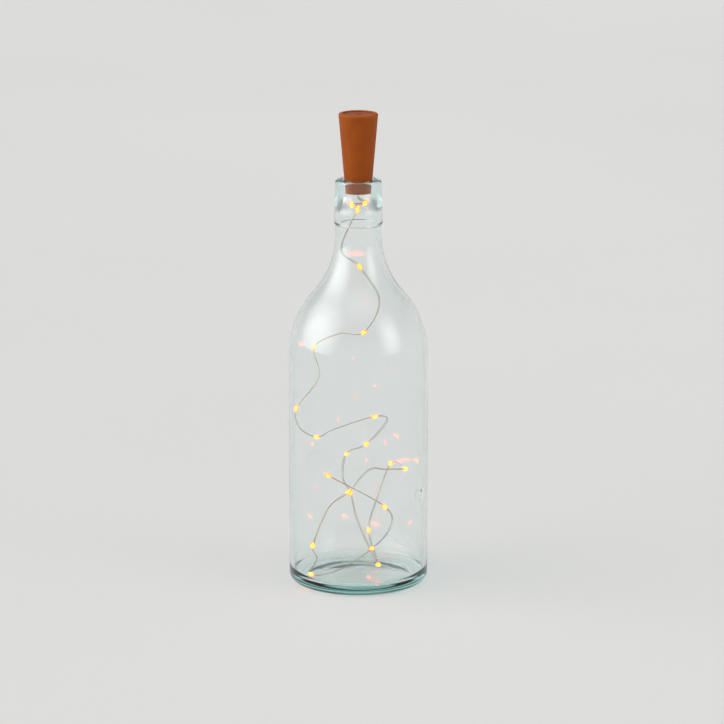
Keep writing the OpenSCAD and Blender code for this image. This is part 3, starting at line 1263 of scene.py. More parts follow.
@dataclass
class LightString:
    """The light wire with its resin drops, from the grommet to the last light.

    Attributes:
        route: The wire's points in millimetres.
        lights: Places on the route that carry a light.
        fine: Rings of the mesh for each step of the route.
        strand_d: Diameter of a strand.
        gap: Distance between the strands' centres where they lie closest.
        loose: How much further apart they are where they lie loosest.
        parted: Distance between them inside a drop.
        drop_l: Length of a drop.
        drop_d: Diameter of a drop.
        fuller: How much thicker than that the drop looks, on each side.
        longer: How much longer it looks, at each end.
        chip: Size of a chip across the strands, above them and along them.
        slow: Length of wire for one radian of the slow change in the strands' distance.
        quick: Length of wire for one radian of the quick change.
        settled: Length of wire below the exit over which the strands lie close.
        seam: Half length over which the strands part at a drop, as a share of the drop's length.
        around: Faces around a strand.
        tied: Height below which the wire would stay with the bottle; not used.
        lifted: Height above which it would follow the stopper; not used.
        centres: Points of the smooth centreline.
        sides: The direction from one strand to the other at each point.
        spots: For each light, its place and the directions across, above and along the wire.
    """

    route: Sequence[Place] = (
        (0, 0, 251), (0, 0, 248.5), (4.5, 4, 246.2), (-4, 5.5, 245.1),
        (-0.5, -6.5, 242.7), (-10.5, -1, 215), (1, 7, 202), (13.5, 8, 180),
        (3.5, 12, 158.5), (-12.5, 33.5, 153), (-29, 22, 147), (-25, 3, 132),
        (-39.2, -3, 113), (-38, 1.5, 100), (-25.5, -25.5, 100), (-15, -36, 107.5),
        (10, -37, 116), (18, -13, 107.5), (5, -21.5, 94.5), (-8, 23, 77),
        (-10.5, 29, 60.5), (-5, 0, 57), (0, -7, 39.5), (12.5, -14, 13.5),
        (7, 33, 23.5), (12.5, 34.5, 44), (21.5, 30, 68.5), (29, -18, 77.5),
        (16.5, -34, 81.2), (6.5, -36, 81.3), (-6, -39, 68), (-18.5, -26.5, 54),
        (-28, -26.5, 29.5), (-26.5, -4, 15), (-29, -25, 10), (-12, -19, 11.5),
        (8.5, 2.5, 19.5), (21, 30.5, 26.5), (17.5, 25, 41), (-19.5, 4.5, 67.5),
    )
    lights: Sequence[int] = (
        2, 3, 4, 6, 8, 10, 12, 14, 16, 18, 19, 21, 23, 24, 26, 27, 30, 32, 34, 36, 38, 39,
    )
    fine: int = 10
    strand_d: float = 0.36
    gap: float = 0.5
    loose: float = 0.5
    parted: float = 0.84
    drop_l: float = 4.6
    drop_d: float = 2.5
    fuller: float = 0.18
    longer: float = 0.55
    chip: Place = (1.2, 0.5, 0.8)
    slow: float = 11.0
    quick: float = 4.3
    settled: float = 8.0
    seam: float = 0.62
    around: int = 10
    tied: float = 205.0
    lifted: float = 235.0
    centres: np.ndarray = field(init=False)
    sides: np.ndarray = field(init=False)
    spots: list[np.ndarray] = field(init=False)

    def __post_init__(self) -> None:
        """Works out the centreline, the side directions and the place of each light."""
        half = np.array([self._at(i / 2) for i in range(2 * len(self.route) - 1)])
        ways = np.vstack([[0.0, 0.0, -1.0], half[2:] - half[:-2], half[-1] - half[-2]])
        ways /= np.linalg.norm(ways, axis=1, keepdims=True)
        sides = [np.array([1.0, 0.0, 0.0])]
        for way in ways[1:]:
            side = sides[-1] - (sides[-1] @ way) * way
            sides.append(side / np.linalg.norm(side))
        coarse = np.array(sides)
        steps = (len(self.route) - 1) * self.fine
        where = np.linspace(0.0, len(self.route) - 1, steps + 1)
        self.centres = np.array([self._at(t) for t in where])
        rings = np.arange(len(coarse))
        self.sides = np.stack([np.interp(2 * where, rings, coarse[:, k]) for k in range(3)], -1)
        self.spots = []
        for light in self.lights:
            k = 2 * light
            across = coarse[k]
            self.spots.append(np.array([half[k], across, np.cross(ways[k], across), ways[k]]))

    def _at(self, t: float) -> np.ndarray:
        """A point of the smooth route.

        Args:
            t: Its place, counted in points of the route.

        Returns:
            The point in millimetres.
        """
        points = np.array(self.route, float)
        padded = np.vstack([2 * points[0] - points[1], points, 2 * points[-1] - points[-2]])
        i = min(int(t), len(points) - 2)
        s = t - i
        a, b, c, d = padded[i : i + 4]
        square, cube = 2 * a - 5 * b + 4 * c - d, 3 * b - a - 3 * c + d
        return (2 * b + (c - a) * s + square * s**2 + cube * s**3) / 2

    def _strand(self, strand: Strand) -> np.ndarray:
        """The centreline of one strand.

        Args:
            strand: Which strand.

        Returns:
            Its points in millimetres.
        """
        steps = np.linalg.norm(np.diff(self.centres, axis=0), axis=1)
        travelled = np.concatenate([[0.0], np.cumsum(steps)])
        drift = 0.5 + 0.3 * np.sin(travelled / self.slow) + 0.2 * np.sin(travelled / self.quick + 1.0)
        free = np.clip(travelled / self.settled, 0.0, 1.0)
        apart = self.gap + self.loose * np.clip(drift, 0.0, 1.0) ** 1.5 * free
        for light in self.lights:
            off = np.abs(travelled - travelled[light * self.fine]) / (self.seam * self.drop_l)
            near = np.clip(1.0 - off, 0.0, 1.0)
            share = near * near * (3 - 2 * near)
            apart = apart + (self.parted - apart) * share
        along = np.gradient(self.centres, axis=0)
        along /= np.linalg.norm(along, axis=1, keepdims=True)
        side = self.sides - np.sum(self.sides * along, axis=1, keepdims=True) * along
        side /= np.linalg.norm(side, axis=1, keepdims=True)
        return self.centres + strand.value * apart[:, None] / 2 * side

    def _drops(self, shape: Drop) -> Form:
        """Makes one rounded body at each light.

        Args:
            shape: The shape of the bodies.

        Returns:
            The form with a body at each light.
        """
        form = Form()
        for number, (centre, across, above, along) in enumerate(self.spots):
            body = shape.body(number)
            local = body.points[0]
            placed = centre + local[:, :1] * across + local[:, 1:2] * above + local[:, 2:] * along
            form.add(placed, body.faces, 0, body.heat[0])
        return form

    def _chips(self) -> Form:
        """Makes the chip of each light.

        Returns:
            The form with the chips.
        """
        form = Form()
        half_x, deep, half_z = self.chip[0] / 2, self.chip[1], self.chip[2] / 2
        low, bevel, coolest = self.strand_d / 2, 0.08, 0.25
        block = Form().block((-half_x, low, -half_z), (half_x, low + deep, half_z), bevel)
        local = block.points[0]
        warm = np.clip((local[:, 1] - low) / deep, coolest, 1.0)
        for centre, across, above, along in self.spots:
            placed = centre + local[:, :1] * across + local[:, 1:2] * above + local[:, 2:] * along
            form.add(placed, block.faces, 0, warm)
        return form

    def build(self, finishes: Finishes) -> None:
        """Args:
            finishes: The object's finishes.
        """
        wide, long = self.drop_d / 2 + self.fuller, self.drop_l / 2 + self.longer
        drop = Drop((wide, wide, long), glow_l=1.9, uneven=0.07, pointed=0.5)
        resin = self._drops(drop).make("light_drops", "bead_resin", [finishes.resin], ALL_SMOOTH)
        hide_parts("led_beads")
        core = Drop((0.68, 0.56, 2.2), glow_l=1.30, uneven=0.05, pointed=0.35)
        glow = self._drops(core).make("light_glows", "chip_phosphor", [finishes.glow], ALL_SMOOTH)
        chips = self._chips().make("light_chips", "chip_phosphor", [finishes.chip])
        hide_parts("led_chips")
        for piece in (resin, glow, chips):
            self._hang(piece)
        for strand in Strand:
            line = self._strand(strand)
            piece = Form().tube(line, self.sides, self.strand_d / 2, self.around).make(
                f"wire_strand_{strand.name.lower()}", "string_wire", [finishes.wire], ENDS_SHARP
            )
            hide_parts(f"string_wire_{strand.name.lower()}")
            self._hang(piece)
            (line * MM).tolist()

    def _hang(self, piece: bpy.types.Object) -> None:
        """Bakes the piece's placement into its mesh.

        Args:
            piece: The piece.
        """
        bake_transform(piece)


@dataclass
class GlassBottle:
    """The blown glass bottle.

    Attributes:
        body_d: Outer diameter of the body.
        body_h: Height of the straight side.
        shoulder_r: Radius of the convex shoulder.
        slope_l: Length of the straight slope.
        flare_r: Radius of the concave curve under the neck.
        neck_d: Outer diameter of the neck.
        neck_h: Straight length of the neck.
        wall: Thickness of the wall.
        floor_t: Thickness of the floor.
        floor_rise: Rise of the inner floor at its middle.
        heel_r: Radius of the outer heel.
        stand_w: Width of the ring that it stands on.
        push_up: Rise of the hollow underneath.
        collar_h: Height of the collar.
        collar_low_d: Diameter of the collar's lower edge.
        collar_top_d: Diameter of the rim.
        collar_edge: Radius of the collar's lower edge.
        rim_edge: Radius of the rim's outer edge.
        seal: Diameter, height above the wall, height of its centre and direction of the raised disc.
        stopper_end_r: Radius of the stopper's lower end.
        stopper_in: How deep the stopper sits below the rim.
        taper: Growth of the stopper's radius for each millimetre of height.
        seat_gap: Room between the stopper and its seat.
        seat_l: Length of the seat below the stopper's end.
        throat_h: Height above the collar's lower edge at which the mouth is as wide as the neck.
        inner_heel_r: Radius between the inner wall and the inner floor.
        ripple: Unevenness of the inner wall.
        thinner: How much the inner wall stands back where it is uneven.
        segments: Faces around.
    """

    body_d: float = 88.0
    body_h: float = 148.5
    shoulder_r: float = 57.5
    slope_l: float = 4.5
    flare_r: float = 56.5
    neck_d: float = 28.9
    neck_h: float = 5.8
    wall: float = 2.9
    floor_t: float = 6.0
    floor_rise: float = 1.0
    heel_r: float = 6.5
    stand_w: float = 5.0
    push_up: float = 2.5
    collar_h: float = 28.5
    collar_low_d: float = 30.6
    collar_top_d: float = 29.2
    collar_edge: float = 1.3
    rim_edge: float = 1.5
    seal: tuple[float, float, float, float] = (8.0, 0.9, 60.0, -26.0)
    stopper_end_r: float = 8.15
    stopper_in: float = 8.0
    taper: float = 0.085
    seat_gap: float = 0.08
    seat_l: float = 1.0
    throat_h: float = 7.0
    inner_heel_r: float = 5.0
    ripple: float = 0.13
    thinner: float = 0.06
    segments: int = 320

    def heights(self) -> tuple[float, float, float, float]:
        """Works out where the curves of the outline meet.

        Returns:
            The slope's angle in degrees and the heights of the flare, the collar and the rim.
        """
        curves = self.shoulder_r + self.flare_r
        inset = (self.body_d - self.neck_d) / 2
        across = math.acos((curves - inset) / math.hypot(curves, self.slope_l))
        angle = across - math.atan2(self.slope_l, curves)
        flare = self.body_h + curves * math.sin(angle) + self.slope_l * math.cos(angle)
        collar = flare + self.neck_h
        return math.degrees(angle), flare, collar, collar + self.collar_h

    def outline(self) -> tuple[list[Point], int]:
        """Works out the outline of the glass.

        Returns:
            The outline from the underside's middle over the rim to the inner floor's middle, and
            the number of its points that are outside.
        """
        slope, flare_z, collar_z, rim_z = self.heights()
        body_r, neck_r = self.body_d / 2, self.neck_d / 2
        ring = body_r - self.heel_r - self.stand_w
        outside: list[Point] = [(ring * i / 10, self.push_up * (1 - (i / 10) ** 2)) for i in range(11)]
        outside += arc((body_r - self.heel_r, self.heel_r), self.heel_r, -90, 0, 16)
        low, high = (self.seal[2] + way * self.seal[0] * 0.6 for way in (-1, 1))
        outside += divided([(body_r, low), (body_r, high)], 0.6)
        outside += arc((body_r - self.shoulder_r, self.body_h), self.shoulder_r, 0, slope, 44)
        outside += arc((neck_r + self.flare_r, flare_z), self.flare_r, 180 + slope, 180, 40)
        low, top = self.collar_low_d / 2, self.collar_top_d / 2
        edge_r, lip_r = low - self.collar_edge, top - self.rim_edge
        outside += softened([(neck_r, collar_z - 1.0), (neck_r, collar_z), (edge_r, collar_z)], 0.25)[1:]
        outside += arc((edge_r, collar_z + self.collar_edge), self.collar_edge, -90, 0, 10)[1:]
        outside += arc((lip_r, rim_z - self.rim_edge), self.rim_edge, 0, 90, 12)
        end_z = rim_z - self.stopper_in
        seat_end = end_z - self.seat_l
        mouth = self.stopper_end_r + self.taper * (rim_z - end_z) + self.seat_gap
        seat = self.stopper_end_r + self.taper * (seat_end - end_z) + self.seat_gap
        throat, throat_z = neck_r - self.wall, collar_z + self.throat_h
        inside = softened([(lip_r, rim_z), (mouth, rim_z), (seat, seat_end)], 0.35, 6)[1:]
        parts = 18
        for i in range(1, parts + 1):
            share = i / parts
            eased = share * share * (3 - 2 * share)
            inside.append((seat + (throat - seat) * eased, seat_end + (throat_z - seat_end) * share))
        inside += arc((neck_r + self.flare_r, flare_z), self.flare_r + self.wall, 180, 180 + slope, 40)
        inside += arc((body_r - self.shoulder_r, self.body_h), self.shoulder_r - self.wall, slope, 0, 44)
        turn_r = self.inner_heel_r
        inside += arc((body_r - self.wall - turn_r, self.floor_t + turn_r), turn_r, 0, -90, 14)
        inside.append((0.0, self.floor_t + self.floor_rise))
        outer = divided(outside, 1.6)
        return outer + divided([outer[-1]] + inside, 2.0)[1:], len(outer)

    def _shift(self, outer: int) -> Shift:
        """Gives the raised disc outside and the ripples inside.

        Args:
            outer: Number of outline points that are outside.

        Returns:
            The function that moves the points.
        """
        seal_d, seal_t, seal_z, seal_turn = self.seal

        def move(a: np.ndarray, r: np.ndarray, z: np.ndarray) -> tuple[np.ndarray, np.ndarray]:
            """Works out how far each point moves.

            Args:
                a: The points' angles.
                r: Their radii.
                z: Their heights.

            Returns:
                How far each point moves out and up.
            """
            side = self.body_d / 2 * np.sin(a - math.radians(seal_turn))
            facing = np.cos(a - math.radians(seal_turn)) > 0
            off = np.hypot(side, z - seal_z)
            lift = np.clip(1.0 - (2.0 * off / seal_d) ** 2, 0.0, 1.0)
            disc = seal_t * lift**0.55 * facing
            waves = (
                0.45 * np.sin(3 * a + 0.9 * np.sin(z / 23.0))
                + 0.30 * np.sin(5 * a - z / 19.0 + 1.1)
                + 0.25 * np.sin(2 * a + z / 13.0 + 2.0)
                + 0.20 * np.sin(z / 8.5 + 0.6 * np.sin(a))
            )
            uneven = rising(z, 12.0, 14.0) * rising(-z, -228.0, 30.0)  # less at the heel and in the neck
            rows = np.arange(r.shape[0])[:, None]
            out = np.where(rows < outer, disc, self.ripple * waves * uneven + self.thinner * uneven)
            on_floor = rising(r, 2.0, 10.0) * (rows >= outer) * (z < 9.0)
            dips = 0.5 * np.sin(3 * a + r / 6.0) + 0.4 * np.sin(2 * a - r / 9.0) - 0.9
            return out, 0.14 * on_floor * dips

        return move

    def build(self, finishes: Finishes) -> None:
        """Makes the glass.

        Args:
            finishes: The object's finishes.
        """
        outline, outer = self.outline()
        glass = Form().lathe(outline, self.segments, shift=self._shift(outer)).make(
            "bottle_glass", "clear_glass", [finishes.glass], ALL_SMOOTH
        )
        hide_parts("bottle")
        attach(glass, "bottle")


@dataclass
class Levels:
    """Heights and radii that the stopper and the tray share, in millimetres.

    Attributes:
        rim_z: Height of the glass rim.
        end_z: Height of the stopper's lower end.
        top_z: Height of its top.
        cap_top: Height of the end cap's top.
        cap_z: Height of the cap's underside.
        board_top: Height of the circuit board's top.
        board_z: Height of its underside.
        cells_z: Height of the lowest cell's underside.
        cell_h: Thickness of a cell.
        cell_d: Diameter of a cell.
        spring_z: Height of the spring's lower end.
        spring_h: Height of the spring.
        foot_z: Height of the tray's foot.
        flange_z: Height of the flange's underside.
        hollow_z: Height of the stopper's inner floor.
        lead_z: Height of the grommet's top.
        lead_at: Distance of the inner leads from the axis.
        stopper_in: How deep the stopper sits below the rim.
        length: Length of the stopper.
        recess: Depth of the cap below the stopper's top.
        cap_t: Thickness of the end cap.
        switch_gap: Room between the cap and the switch.
        switch_h: Height of the switch.
        board_t: Thickness of the circuit board.
        cell_gap: Room between the board and the upper cell, with the contact in it.
        plate_t: Thickness of the spring plate.
        foot_t: Thickness of the tray's floor.
        foot_rim: Height of the rim under that floor.
        flange_t: Height of the tray's flange.
        end_t: Thickness of the stopper's lower wall.
        grommet_h: Height of the grommet inside the stopper.
    """

    rim_z: float
    end_z: float = field(init=False)
    top_z: float = field(init=False)
    cap_top: float = field(init=False)
    cap_z: float = field(init=False)
    board_top: float = field(init=False)
    board_z: float = field(init=False)
    cells_z: float = field(init=False)
    cell_h: float = 5.4
    cell_d: float = 11.6
    spring_z: float = field(init=False)
    spring_h: float = 3.0
    foot_z: float = field(init=False)
    flange_z: float = field(init=False)
    hollow_z: float = field(init=False)
    lead_z: float = field(init=False)
    lead_at: float = 4.15
    stopper_in: float = 8.0
    length: float = 50.0
    recess: float = 0.6
    cap_t: float = 1.6
    switch_gap: float = 0.4
    switch_h: float = 3.2
    board_t: float = 0.8
    cell_gap: float = 0.4
    plate_t: float = 0.3
    foot_t: float = 1.5
    foot_rim: float = 0.3
    flange_t: float = 2.6
    end_t: float = 1.9
    grommet_h: float = 0.8

    def __post_init__(self) -> None:
        """Works out the heights from the rim."""
        self.end_z = self.rim_z - self.stopper_in
        self.top_z = self.end_z + self.length
        self.cap_top = self.top_z - self.recess
        self.cap_z = self.cap_top - self.cap_t
        self.board_top = self.cap_z - self.switch_gap - self.switch_h
        self.board_z = self.board_top - self.board_t
        self.cells_z = self.board_z - self.cell_gap - 3 * self.cell_h
        self.spring_z = self.cells_z - self.spring_h
        self.foot_z = self.spring_z - self.plate_t - self.foot_t - self.foot_rim
        self.flange_z = self.board_z - self.flange_t
        self.hollow_z = self.end_z + self.end_t
        self.lead_z = self.hollow_z + self.grommet_h


@dataclass
class BatteryStopper:
    """The moulded stopper with the grommet in its lower wall.

    Attributes:
        levels: The shared heights.
        end_r: Radius at the lower end.
        taper: Growth of the radius for each millimetre of height.
        edge: Radius of the top's outer edge.
        recess_r: Radius of the recess in the top.
        bore_r: Radius of the tray's bore.
        slack_r: Radius of the space for the inner leads.
        hole_r: Radius of the grommet's hole.
        slack_h: Height of the space for the inner leads above the stopper's inner floor.
        grommet_r: Radius of the grommet inside the stopper.
    """

    levels: Levels
    end_r: float = 8.15
    taper: float = 0.085
    edge: float = 0.9
    recess_r: float = 9.7
    bore_r: float = 7.4
    slack_r: float = 6.9
    hole_r: float = 1.6
    slack_h: float = 4.6
    grommet_r: float = 2.8

    def build(self, finishes: Finishes) -> None:
        """Makes the stopper's body and the grommet.

        Args:
            finishes: The object's finishes.
        """
        at = self.levels
        top_r = self.end_r + self.taper * (at.top_z - at.end_z)
        slack_z = at.hollow_z + self.slack_h
        outline: list[Point] = [(self.hole_r, at.end_z), (self.end_r, at.end_z)]
        crown = arc((top_r - self.edge, at.top_z - self.edge), self.edge, 0, 90, 10)
        inner: list[Point] = [
            (self.recess_r, at.top_z), (self.recess_r, at.flange_z), (self.bore_r, at.flange_z),
            (self.bore_r, at.foot_z), (self.slack_r, at.foot_z), (self.slack_r, slack_z),
            (self.slack_r - 1, slack_z - 1), (self.slack_r - 1, at.hollow_z), (self.hole_r, at.hollow_z),
        ]
        side = softened(outline + [crown[0]], 0.35, 5)
        hollow = softened([crown[-1]] + inner + [outline[0]], 0.22)[1:-1]
        body = Form().lathe(divided(side + crown[1:] + hollow, 1.5), 192, closed=True).make(
            "stopper_body", "stopper_plastic", [finishes.stopper], 40.0
        )
        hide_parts("stopper_shell")
        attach(body, "stopper")
        low, wide = at.end_z - 0.5, self.grommet_r
        seal: list[Point] = [
            (0.0, low + 0.12), (0.55, low + 0.1), (0.75, low), (1.35, low), (self.hole_r, low + 0.25),
            (self.hole_r, at.hollow_z), (wide, at.hollow_z), (wide, at.lead_z), (0.0, at.lead_z),
        ]
        grommet = Form().lathe(softened(seal, 0.12), 64).make(
            "grommet_seal", "grommet_rubber", [finishes.rubber]
        )
        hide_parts("wire_grommet")
        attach(grommet, "stopper")


@dataclass
class BatteryTray:
    """The tray with its cells, contacts, board and switch, and the end cap that closes the stopper.

    Attributes:
        levels: The shared heights.
        screw_at: Distance of each cap screw from the axis.
        screw_d: Diameter of its shank.
        head_d: Diameter of its head.
        head_in: Depth of the head's underside below the cap's top.
        tip_up: Height of its tip above the flange's underside.
        spring_wire: Wire diameter of the cell spring.
        spring_turns: Turns of the cell spring.
        spring_low: Radius of the cell spring's lower end.
        spring_in: How much smaller the radius of its upper end is.
        lead_d: Diameter of an inner lead.
        lead_turns: Turns of slack in an inner lead.
        lead_out: Distance of a lead from the axis where it leaves the grommet.
    """

    levels: Levels
    screw_at: float = 7.6
    screw_d: float = 1.2
    head_d: float = 2.3
    head_in: float = 0.9
    tip_up: float = 0.5
    spring_wire: float = 0.5
    spring_turns: float = 3.5
    spring_low: float = 4.0
    spring_in: float = 1.2
    lead_d: float = 0.8
    lead_turns: float = 2.0
    lead_out: float = 0.9

    def build(self, finishes: Finishes) -> None:
        """Makes every piece of the tray.

        Args:
            finishes: The object's finishes.
        """
        dress("end_cap", finishes.cap)
        dress("battery_tray", finishes.tray)
        dress("switch_housing", finishes.steel)
        dress("circuit_board", finishes.board)
        for node in ("spring_plate", "positive_contact", "contact_strip"):
            dress(node, finishes.brass)
        self._cells(finishes)
        self._spring(finishes)
        self._screws(finishes)
        self._resistor(finishes)
        self._leads(finishes)
        self._solder(finishes)

    def _cells(self, finishes: Finishes) -> None:
        """Makes the three button cells, each a can, a seal ring and a smaller cap below.

        Args:
            finishes: The object's finishes.
        """
        r = self.levels.cell_d / 2
        around, gasket = 96, 1
        for place, node in enumerate(("cell_lower", "cell_middle", "cell_upper")):
            low = self.levels.cells_z + place * self.levels.cell_h
            top = low + self.levels.cell_h
            rolled: list[Point] = [
                (r - 0.62, low + 0.45), (r - 0.3, low + 0.4), (r, low + 0.7),
                (r, top - 0.2), (r - 0.2, top), (0.0, top),
            ]
            can: list[Point] = [(0.0, low + 0.62), (r - 0.62, low + 0.62)] + softened(rolled, 0.14)
            cap: list[Point] = [
                (0.0, low), (r - 0.95, low), (r - 0.78, low + 0.4), (r - 0.78, low + 0.5), (0.0, low + 0.5),
            ]
            ring: list[Point] = [
                (r - 0.76, low + 0.3), (r - 0.5, low + 0.3), (r - 0.4, low + 0.6), (r - 0.76, low + 0.6),
            ]
            form = Form().lathe(can, around).lathe(softened(cap, 0.12), around)
            form.lathe(ring, around, closed=True, part=gasket)
            cell = form.make(f"button_{node}", "cell_steel", [finishes.cell, finishes.gasket])
            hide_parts(node)
            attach(cell, "tray")

    def _spring(self, finishes: Finishes) -> None:
        """Makes the coil spring under the cells.

        Args:
            finishes: The object's finishes.
        """
        share = np.linspace(0.0, 1.0, 240)
        turn = 2.0 * math.pi * self.spring_turns * share
        radius = self.spring_low - self.spring_in * share
        rise = self.levels.spring_h - self.spring_wire
        height = self.levels.spring_z + self.spring_wire / 2 + rise * share
        line = np.stack([radius * np.cos(turn), radius * np.sin(turn), height], -1)
        sides = np.tile([0.0, 0.0, 1.0], (len(line), 1))
        spring = Form().tube(line, sides, self.spring_wire / 2, 14).make(
            "coil_spring", "steel", [finishes.steel], ENDS_SHARP
        )
        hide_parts("cell_spring")
        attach(spring, "tray")

    def _screws(self, finishes: Finishes) -> None:
        """Makes the two cap screws with threads and cross recesses.

        Args:
            finishes: The object's finishes.
        """
        head_z = self.levels.cap_top - self.head_in
        tip = self.levels.flange_z + self.tip_up
        shank, head = self.screw_d / 2, self.head_d / 2
        side_h, dome_h, pitch, root = 0.4, 0.3, 0.4, shank * 0.8
        screw: list[Point] = [(0.0, tip), (shank * 0.55, tip + 0.2)]
        z = tip + 0.45
        while z < head_z - 0.7:
            screw += [(root, z), (shank, z + 0.13), (shank, z + 0.19), (root, z + 0.32)]
            z += pitch
        screw += [(shank * 0.82, head_z), (head - 0.06, head_z)]
        screw += [(head, head_z + 0.07), (head, head_z + side_h)]
        for t in np.linspace(0.15, 1.35, 9):
            screw.append((head * math.cos(t), head_z + side_h + dome_h * math.sin(t)))
        top = head_z + 0.7
        screw += [(head * share, top) for share in (0.19, 0.155, 0.12, 0.085, 0.05)] + [(0.0, top)]

        def cross(a: np.ndarray, r: np.ndarray, z: np.ndarray) -> tuple[np.ndarray, np.ndarray]:
            """Works out the cross recess in the head.

            Args:
                a: The points' angles.
                r: Their radii.
                z: Their heights.

            Returns:
                How far each point moves out and up.
            """
            arm = np.minimum(np.abs(np.sin(a)), np.abs(np.cos(a))) * r
            inside = rising(-arm, -0.2, 0.06) * rising(-r, -0.78, 0.08) * (z > head_z + 0.45)
            return np.zeros_like(r), -0.32 * inside

        form = Form()
        for side in (-1, 1):
            form.lathe(screw, 72, centre=(0.0, side * self.screw_at), shift=cross)
        screws = form.make("cross_screws", "steel", [finishes.steel])
        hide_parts("cap_screws")
        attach(screws, "tray")

    def _resistor(self, finishes: Finishes) -> None:
        """Makes the chip resistor with its plated ends.

        Args:
            finishes: The object's finishes.
        """
        low = self.levels.board_top
        plated = 1
        form = Form().block((-1.25, -4.95, low + 0.03), (1.25, -3.45, low + 0.56), 0.05)
        form.block((-1.6, -5.0, low), (-1.15, -3.4, low + 0.6), 0.09, plated)
        form.block((1.15, -5.0, low), (1.6, -3.4, low + 0.6), 0.09, plated)
        chip = form.make("chip_resistor", "resistor_black", [finishes.ceramic, finishes.solder])
        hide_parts("resistor")
        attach(chip, "tray")

    def _lead_line(self, start: float) -> np.ndarray:
        """The centreline of an inner lead.

        Args:
            start: Its first angle in degrees.

        Returns:
            Its points in millimetres.
        """
        share = np.linspace(0.0, 1.0, 181)
        turn = math.radians(start) + 2.0 * math.pi * self.lead_turns * share
        near = np.clip(4.0 * share, 0.0, 1.0)
        radius = self.lead_out + (self.levels.lead_at - self.lead_out) * near * (2.0 - near)
        height = self.levels.lead_z + (self.levels.foot_z - self.levels.lead_z) * share
        return np.stack([radius * np.cos(turn), radius * np.sin(turn), height], -1)

    def _leads(self, finishes: Finishes) -> None:
        """Makes the two coiled inner leads.

        Args:
            finishes: The object's finishes.
        """
        at = self.levels
        for name, start, finish, slot in (
            ("lead_positive", 180.0, finishes.red, "lead_red"),
            ("lead_negative", 0.0, finishes.black, "lead_black"),
        ):
            line = self._lead_line(start)
            sides = np.tile([0.0, 0.0, 1.0], (len(line), 1)) * 0.2 + line * (1.0, 1.0, 0.0)
            lead = Form().tube(line, sides, self.lead_d / 2, 14).make(
                f"inner_{name}", slot, [finish], ENDS_SHARP
            )
            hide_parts(name)
            at.lead_z * MM
            at.foot_z * MM
            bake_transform(lead)

    def _solder(self, finishes: Finishes) -> None:
        """Makes the solder drops where the leads meet the contacts.

        Args:
            finishes: The object's finishes.
        """
        foot = self.levels.foot_z
        drop: list[Point] = [
            (0.0, foot), (0.86, foot), (0.9, foot - 0.06), (0.78, foot - 0.22), (0.62, foot - 0.42),
            (0.53, foot - 0.62), (0.47, foot - 0.78), (0.36, foot - 0.86), (0.0, foot - 0.88),
        ]
        form = Form()
        for side in (-1, 1):
            form.lathe(drop, 40, centre=(side * self.levels.lead_at, 0.0))
        joints = form.make("solder_drops", "solder", [finishes.solder], ENDS_SHARP)
        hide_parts("solder_joints")
        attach(joints, "tray")


@dataclass
class SlideSwitch:
    """The slider that a fingernail moves in the end cap's slot.

    Attributes:
        levels: The shared heights.
        rest: Its place along X at rest.
        length: Length of its foot.
        width: Width of its foot.
        height: Height of its foot.
        stem: Side of its stem.
        foot_up: Height of its foot above the board.
        stem_in: Depth of the stem's top below the cap's top.
        ridge_gap: Distance between its grip ridges.
        ridge_half: Half width of a ridge.
    """

    levels: Levels
    rest: float = 1.0
    length: float = 4.0
    width: float = 2.3
    height: float = 1.4
    stem: float = 1.4
    foot_up: float = 0.9
    stem_in: float = 0.42
    ridge_gap: float = 0.45
    ridge_half: float = 0.13

    def build(self, finishes: Finishes) -> None:
        """Makes the slider with its grip ridges.

        Args:
            finishes: The object's finishes.
        """
        low = self.levels.board_top + self.foot_up
        top = self.levels.cap_top - self.stem_in
        long, wide, half = self.length / 2, self.width / 2, self.stem / 2
        foot_top = low + self.height
        form = Form().block((self.rest - long, -wide, low), (self.rest + long, wide, foot_top), 0.12)
        form.block((self.rest - half, -half, foot_top - 0.1), (self.rest + half, half, top), 0.1)
        for k in (-1, 0, 1):
            start, end = (self.rest + k * self.ridge_gap + way * self.ridge_half for way in (-1, 1))
            form.block((start, -half + 0.05, top - 0.1), (end, half - 0.05, top + 0.12), 0.05)
        slider = form.make("ridged_slider", "slider_plastic", [finishes.slider])
        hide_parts("switch_slider")
        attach(slider, "slider")


@dataclass
class Softbox:
    """One soft light of the studio, as a bright patch of the world.

    Attributes:
        turn: Direction about the upright axis in degrees, 0 towards the camera and 90 to its right.
        rise: Elevation of its middle in degrees.
        wide: Half width as a tangent.
        high: Half height as a tangent.
        strength: Brightness of its middle.
    """

    turn: float
    rise: float
    wide: float
    high: float
    strength: float

    def light(self, graph: Graph, way: Signal) -> Signal:
        """Adds the patch to the world.

        Args:
            graph: The world's graph.
            way: The direction that is looked at.

        Returns:
            The patch's brightness.
        """
        a, e = math.radians(self.turn), math.radians(self.rise)
        ahead = Vector((math.sin(a) * math.cos(e), -math.cos(a) * math.cos(e), math.sin(e)))
        right = Vector((math.cos(a), math.sin(a), 0.0))
        up = right.cross(ahead) * -1.0
        least = 0.001
        depth = graph.math("MAXIMUM", graph.vector("DOT_PRODUCT", way, tuple(ahead)), least)
        x = abs(graph.vector("DOT_PRODUCT", way, tuple(right)) / depth) / self.wide
        y = abs(graph.vector("DOT_PRODUCT", way, tuple(up)) / depth) / self.high
        faded = (1.0 - x.step(0.0, 1.0)) * (1.0 - y.step(0.0, 1.0))
        on_this_side = depth.step(0.05, 0.3)
        return faded * on_this_side * self.strength


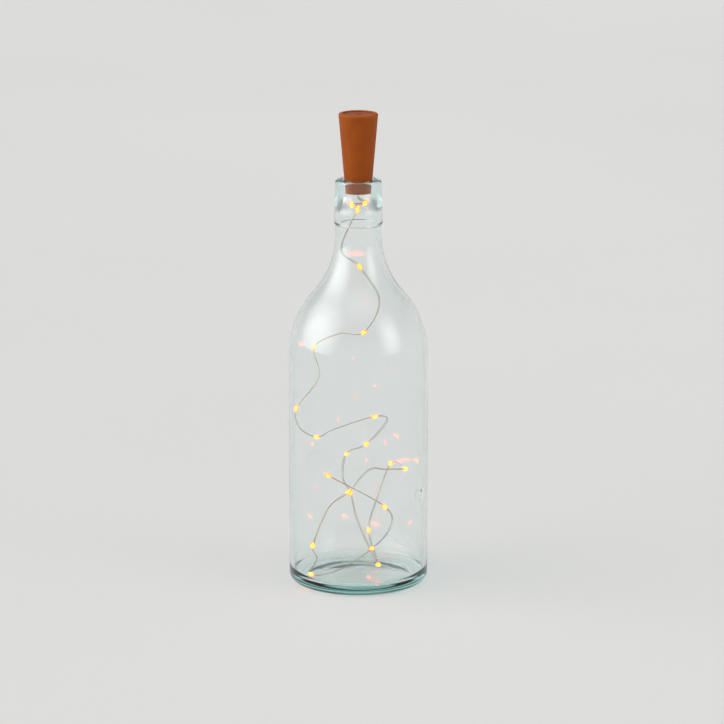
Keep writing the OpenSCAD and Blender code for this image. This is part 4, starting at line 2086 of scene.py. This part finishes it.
@dataclass
class Studio:
    """The pale floor and the soft studio light.

    Attributes:
        size: Half side of the floor in metres.
        low: Brightness of the studio near the floor.
        high: Brightness of the studio overhead.
        green: Share of green in its light, against red.
        blue: Share of blue in its light.
        below: Depth of the floor's surface under the bottle, in millimetres.
        boxes: The soft lights.
    """

    size: float = 14.0
    low: float = 0.72
    high: float = 0.38
    green: float = 0.995
    blue: float = 0.985
    below: float = 0.02
    boxes: Sequence[Softbox] = (
        Softbox(turn=-80.0, rise=24.0, wide=1.10, high=0.90, strength=3.7),
        Softbox(turn=61.0, rise=20.0, wide=0.50, high=0.62, strength=2.6),
        Softbox(turn=0.0, rise=80.0, wide=1.2, high=1.0, strength=1.0),
    )

    def build(self, finishes: Finishes) -> None:
        """Makes the floor and the world.

        Args:
            finishes: The object's finishes.
        """
        mesh = bpy.data.meshes.new("floor")
        side = self.size
        corners = [(-side, -side, 0), (side, -side, 0), (side, side, 0), (-side, side, 0)]
        mesh.from_pydata(corners, [], [(0, 1, 2, 3)])
        mesh.materials.append(finishes.floor)
        floor = bpy.data.objects.new("floor", mesh)
        bpy.context.scene.collection.objects.link(floor)
        floor.location.z = -self.below * MM
        world = bpy.data.worlds.new("studio")
        world.use_nodes = True
        bpy.context.scene.world = world
        graph = Graph(world.node_tree)
        way = Signal(graph, graph.node("ShaderNodeTexCoord").outputs["Generated"])
        up = graph.upright(way)
        horizon, overhead = 0.02, 0.5
        level = self.low - up.step(horizon, overhead) * (self.low - self.high)
        for box in self.boxes:
            level = level + box.light(graph, way)
        light = {"Red": level, "Green": level * self.green, "Blue": level * self.blue}
        tone = graph.node("ShaderNodeCombineColor", None, light)
        sky = graph.node("ShaderNodeBackground", None, {"Color": tone.outputs[0], "Strength": 1.0})
        graph.node("ShaderNodeOutputWorld", None, {"Surface": sky.outputs[0]})
        bpy.context.scene.view_settings.view_transform = "Standard"
        LOG.info("studio with %d soft lights", len(self.boxes))


def main() -> None:
    """Builds the object in order: camera, cords, glass, stopper, tray, switch and studio."""
    logging.basicConfig(level=logging.INFO, format="%(name)s: %(message)s")
    Viewpoint().build()
    finishes = Finishes()
    LightString().build(finishes)
    bottle = GlassBottle()
    bottle.build(finishes)
    rim_z = bottle.heights()[3]
    levels = Levels(rim_z)
    BatteryStopper(levels).build(finishes)
    BatteryTray(levels).build(finishes)
    SlideSwitch(levels).build(finishes)
    Studio().build(finishes)


if __name__ == "__main__":
    main()
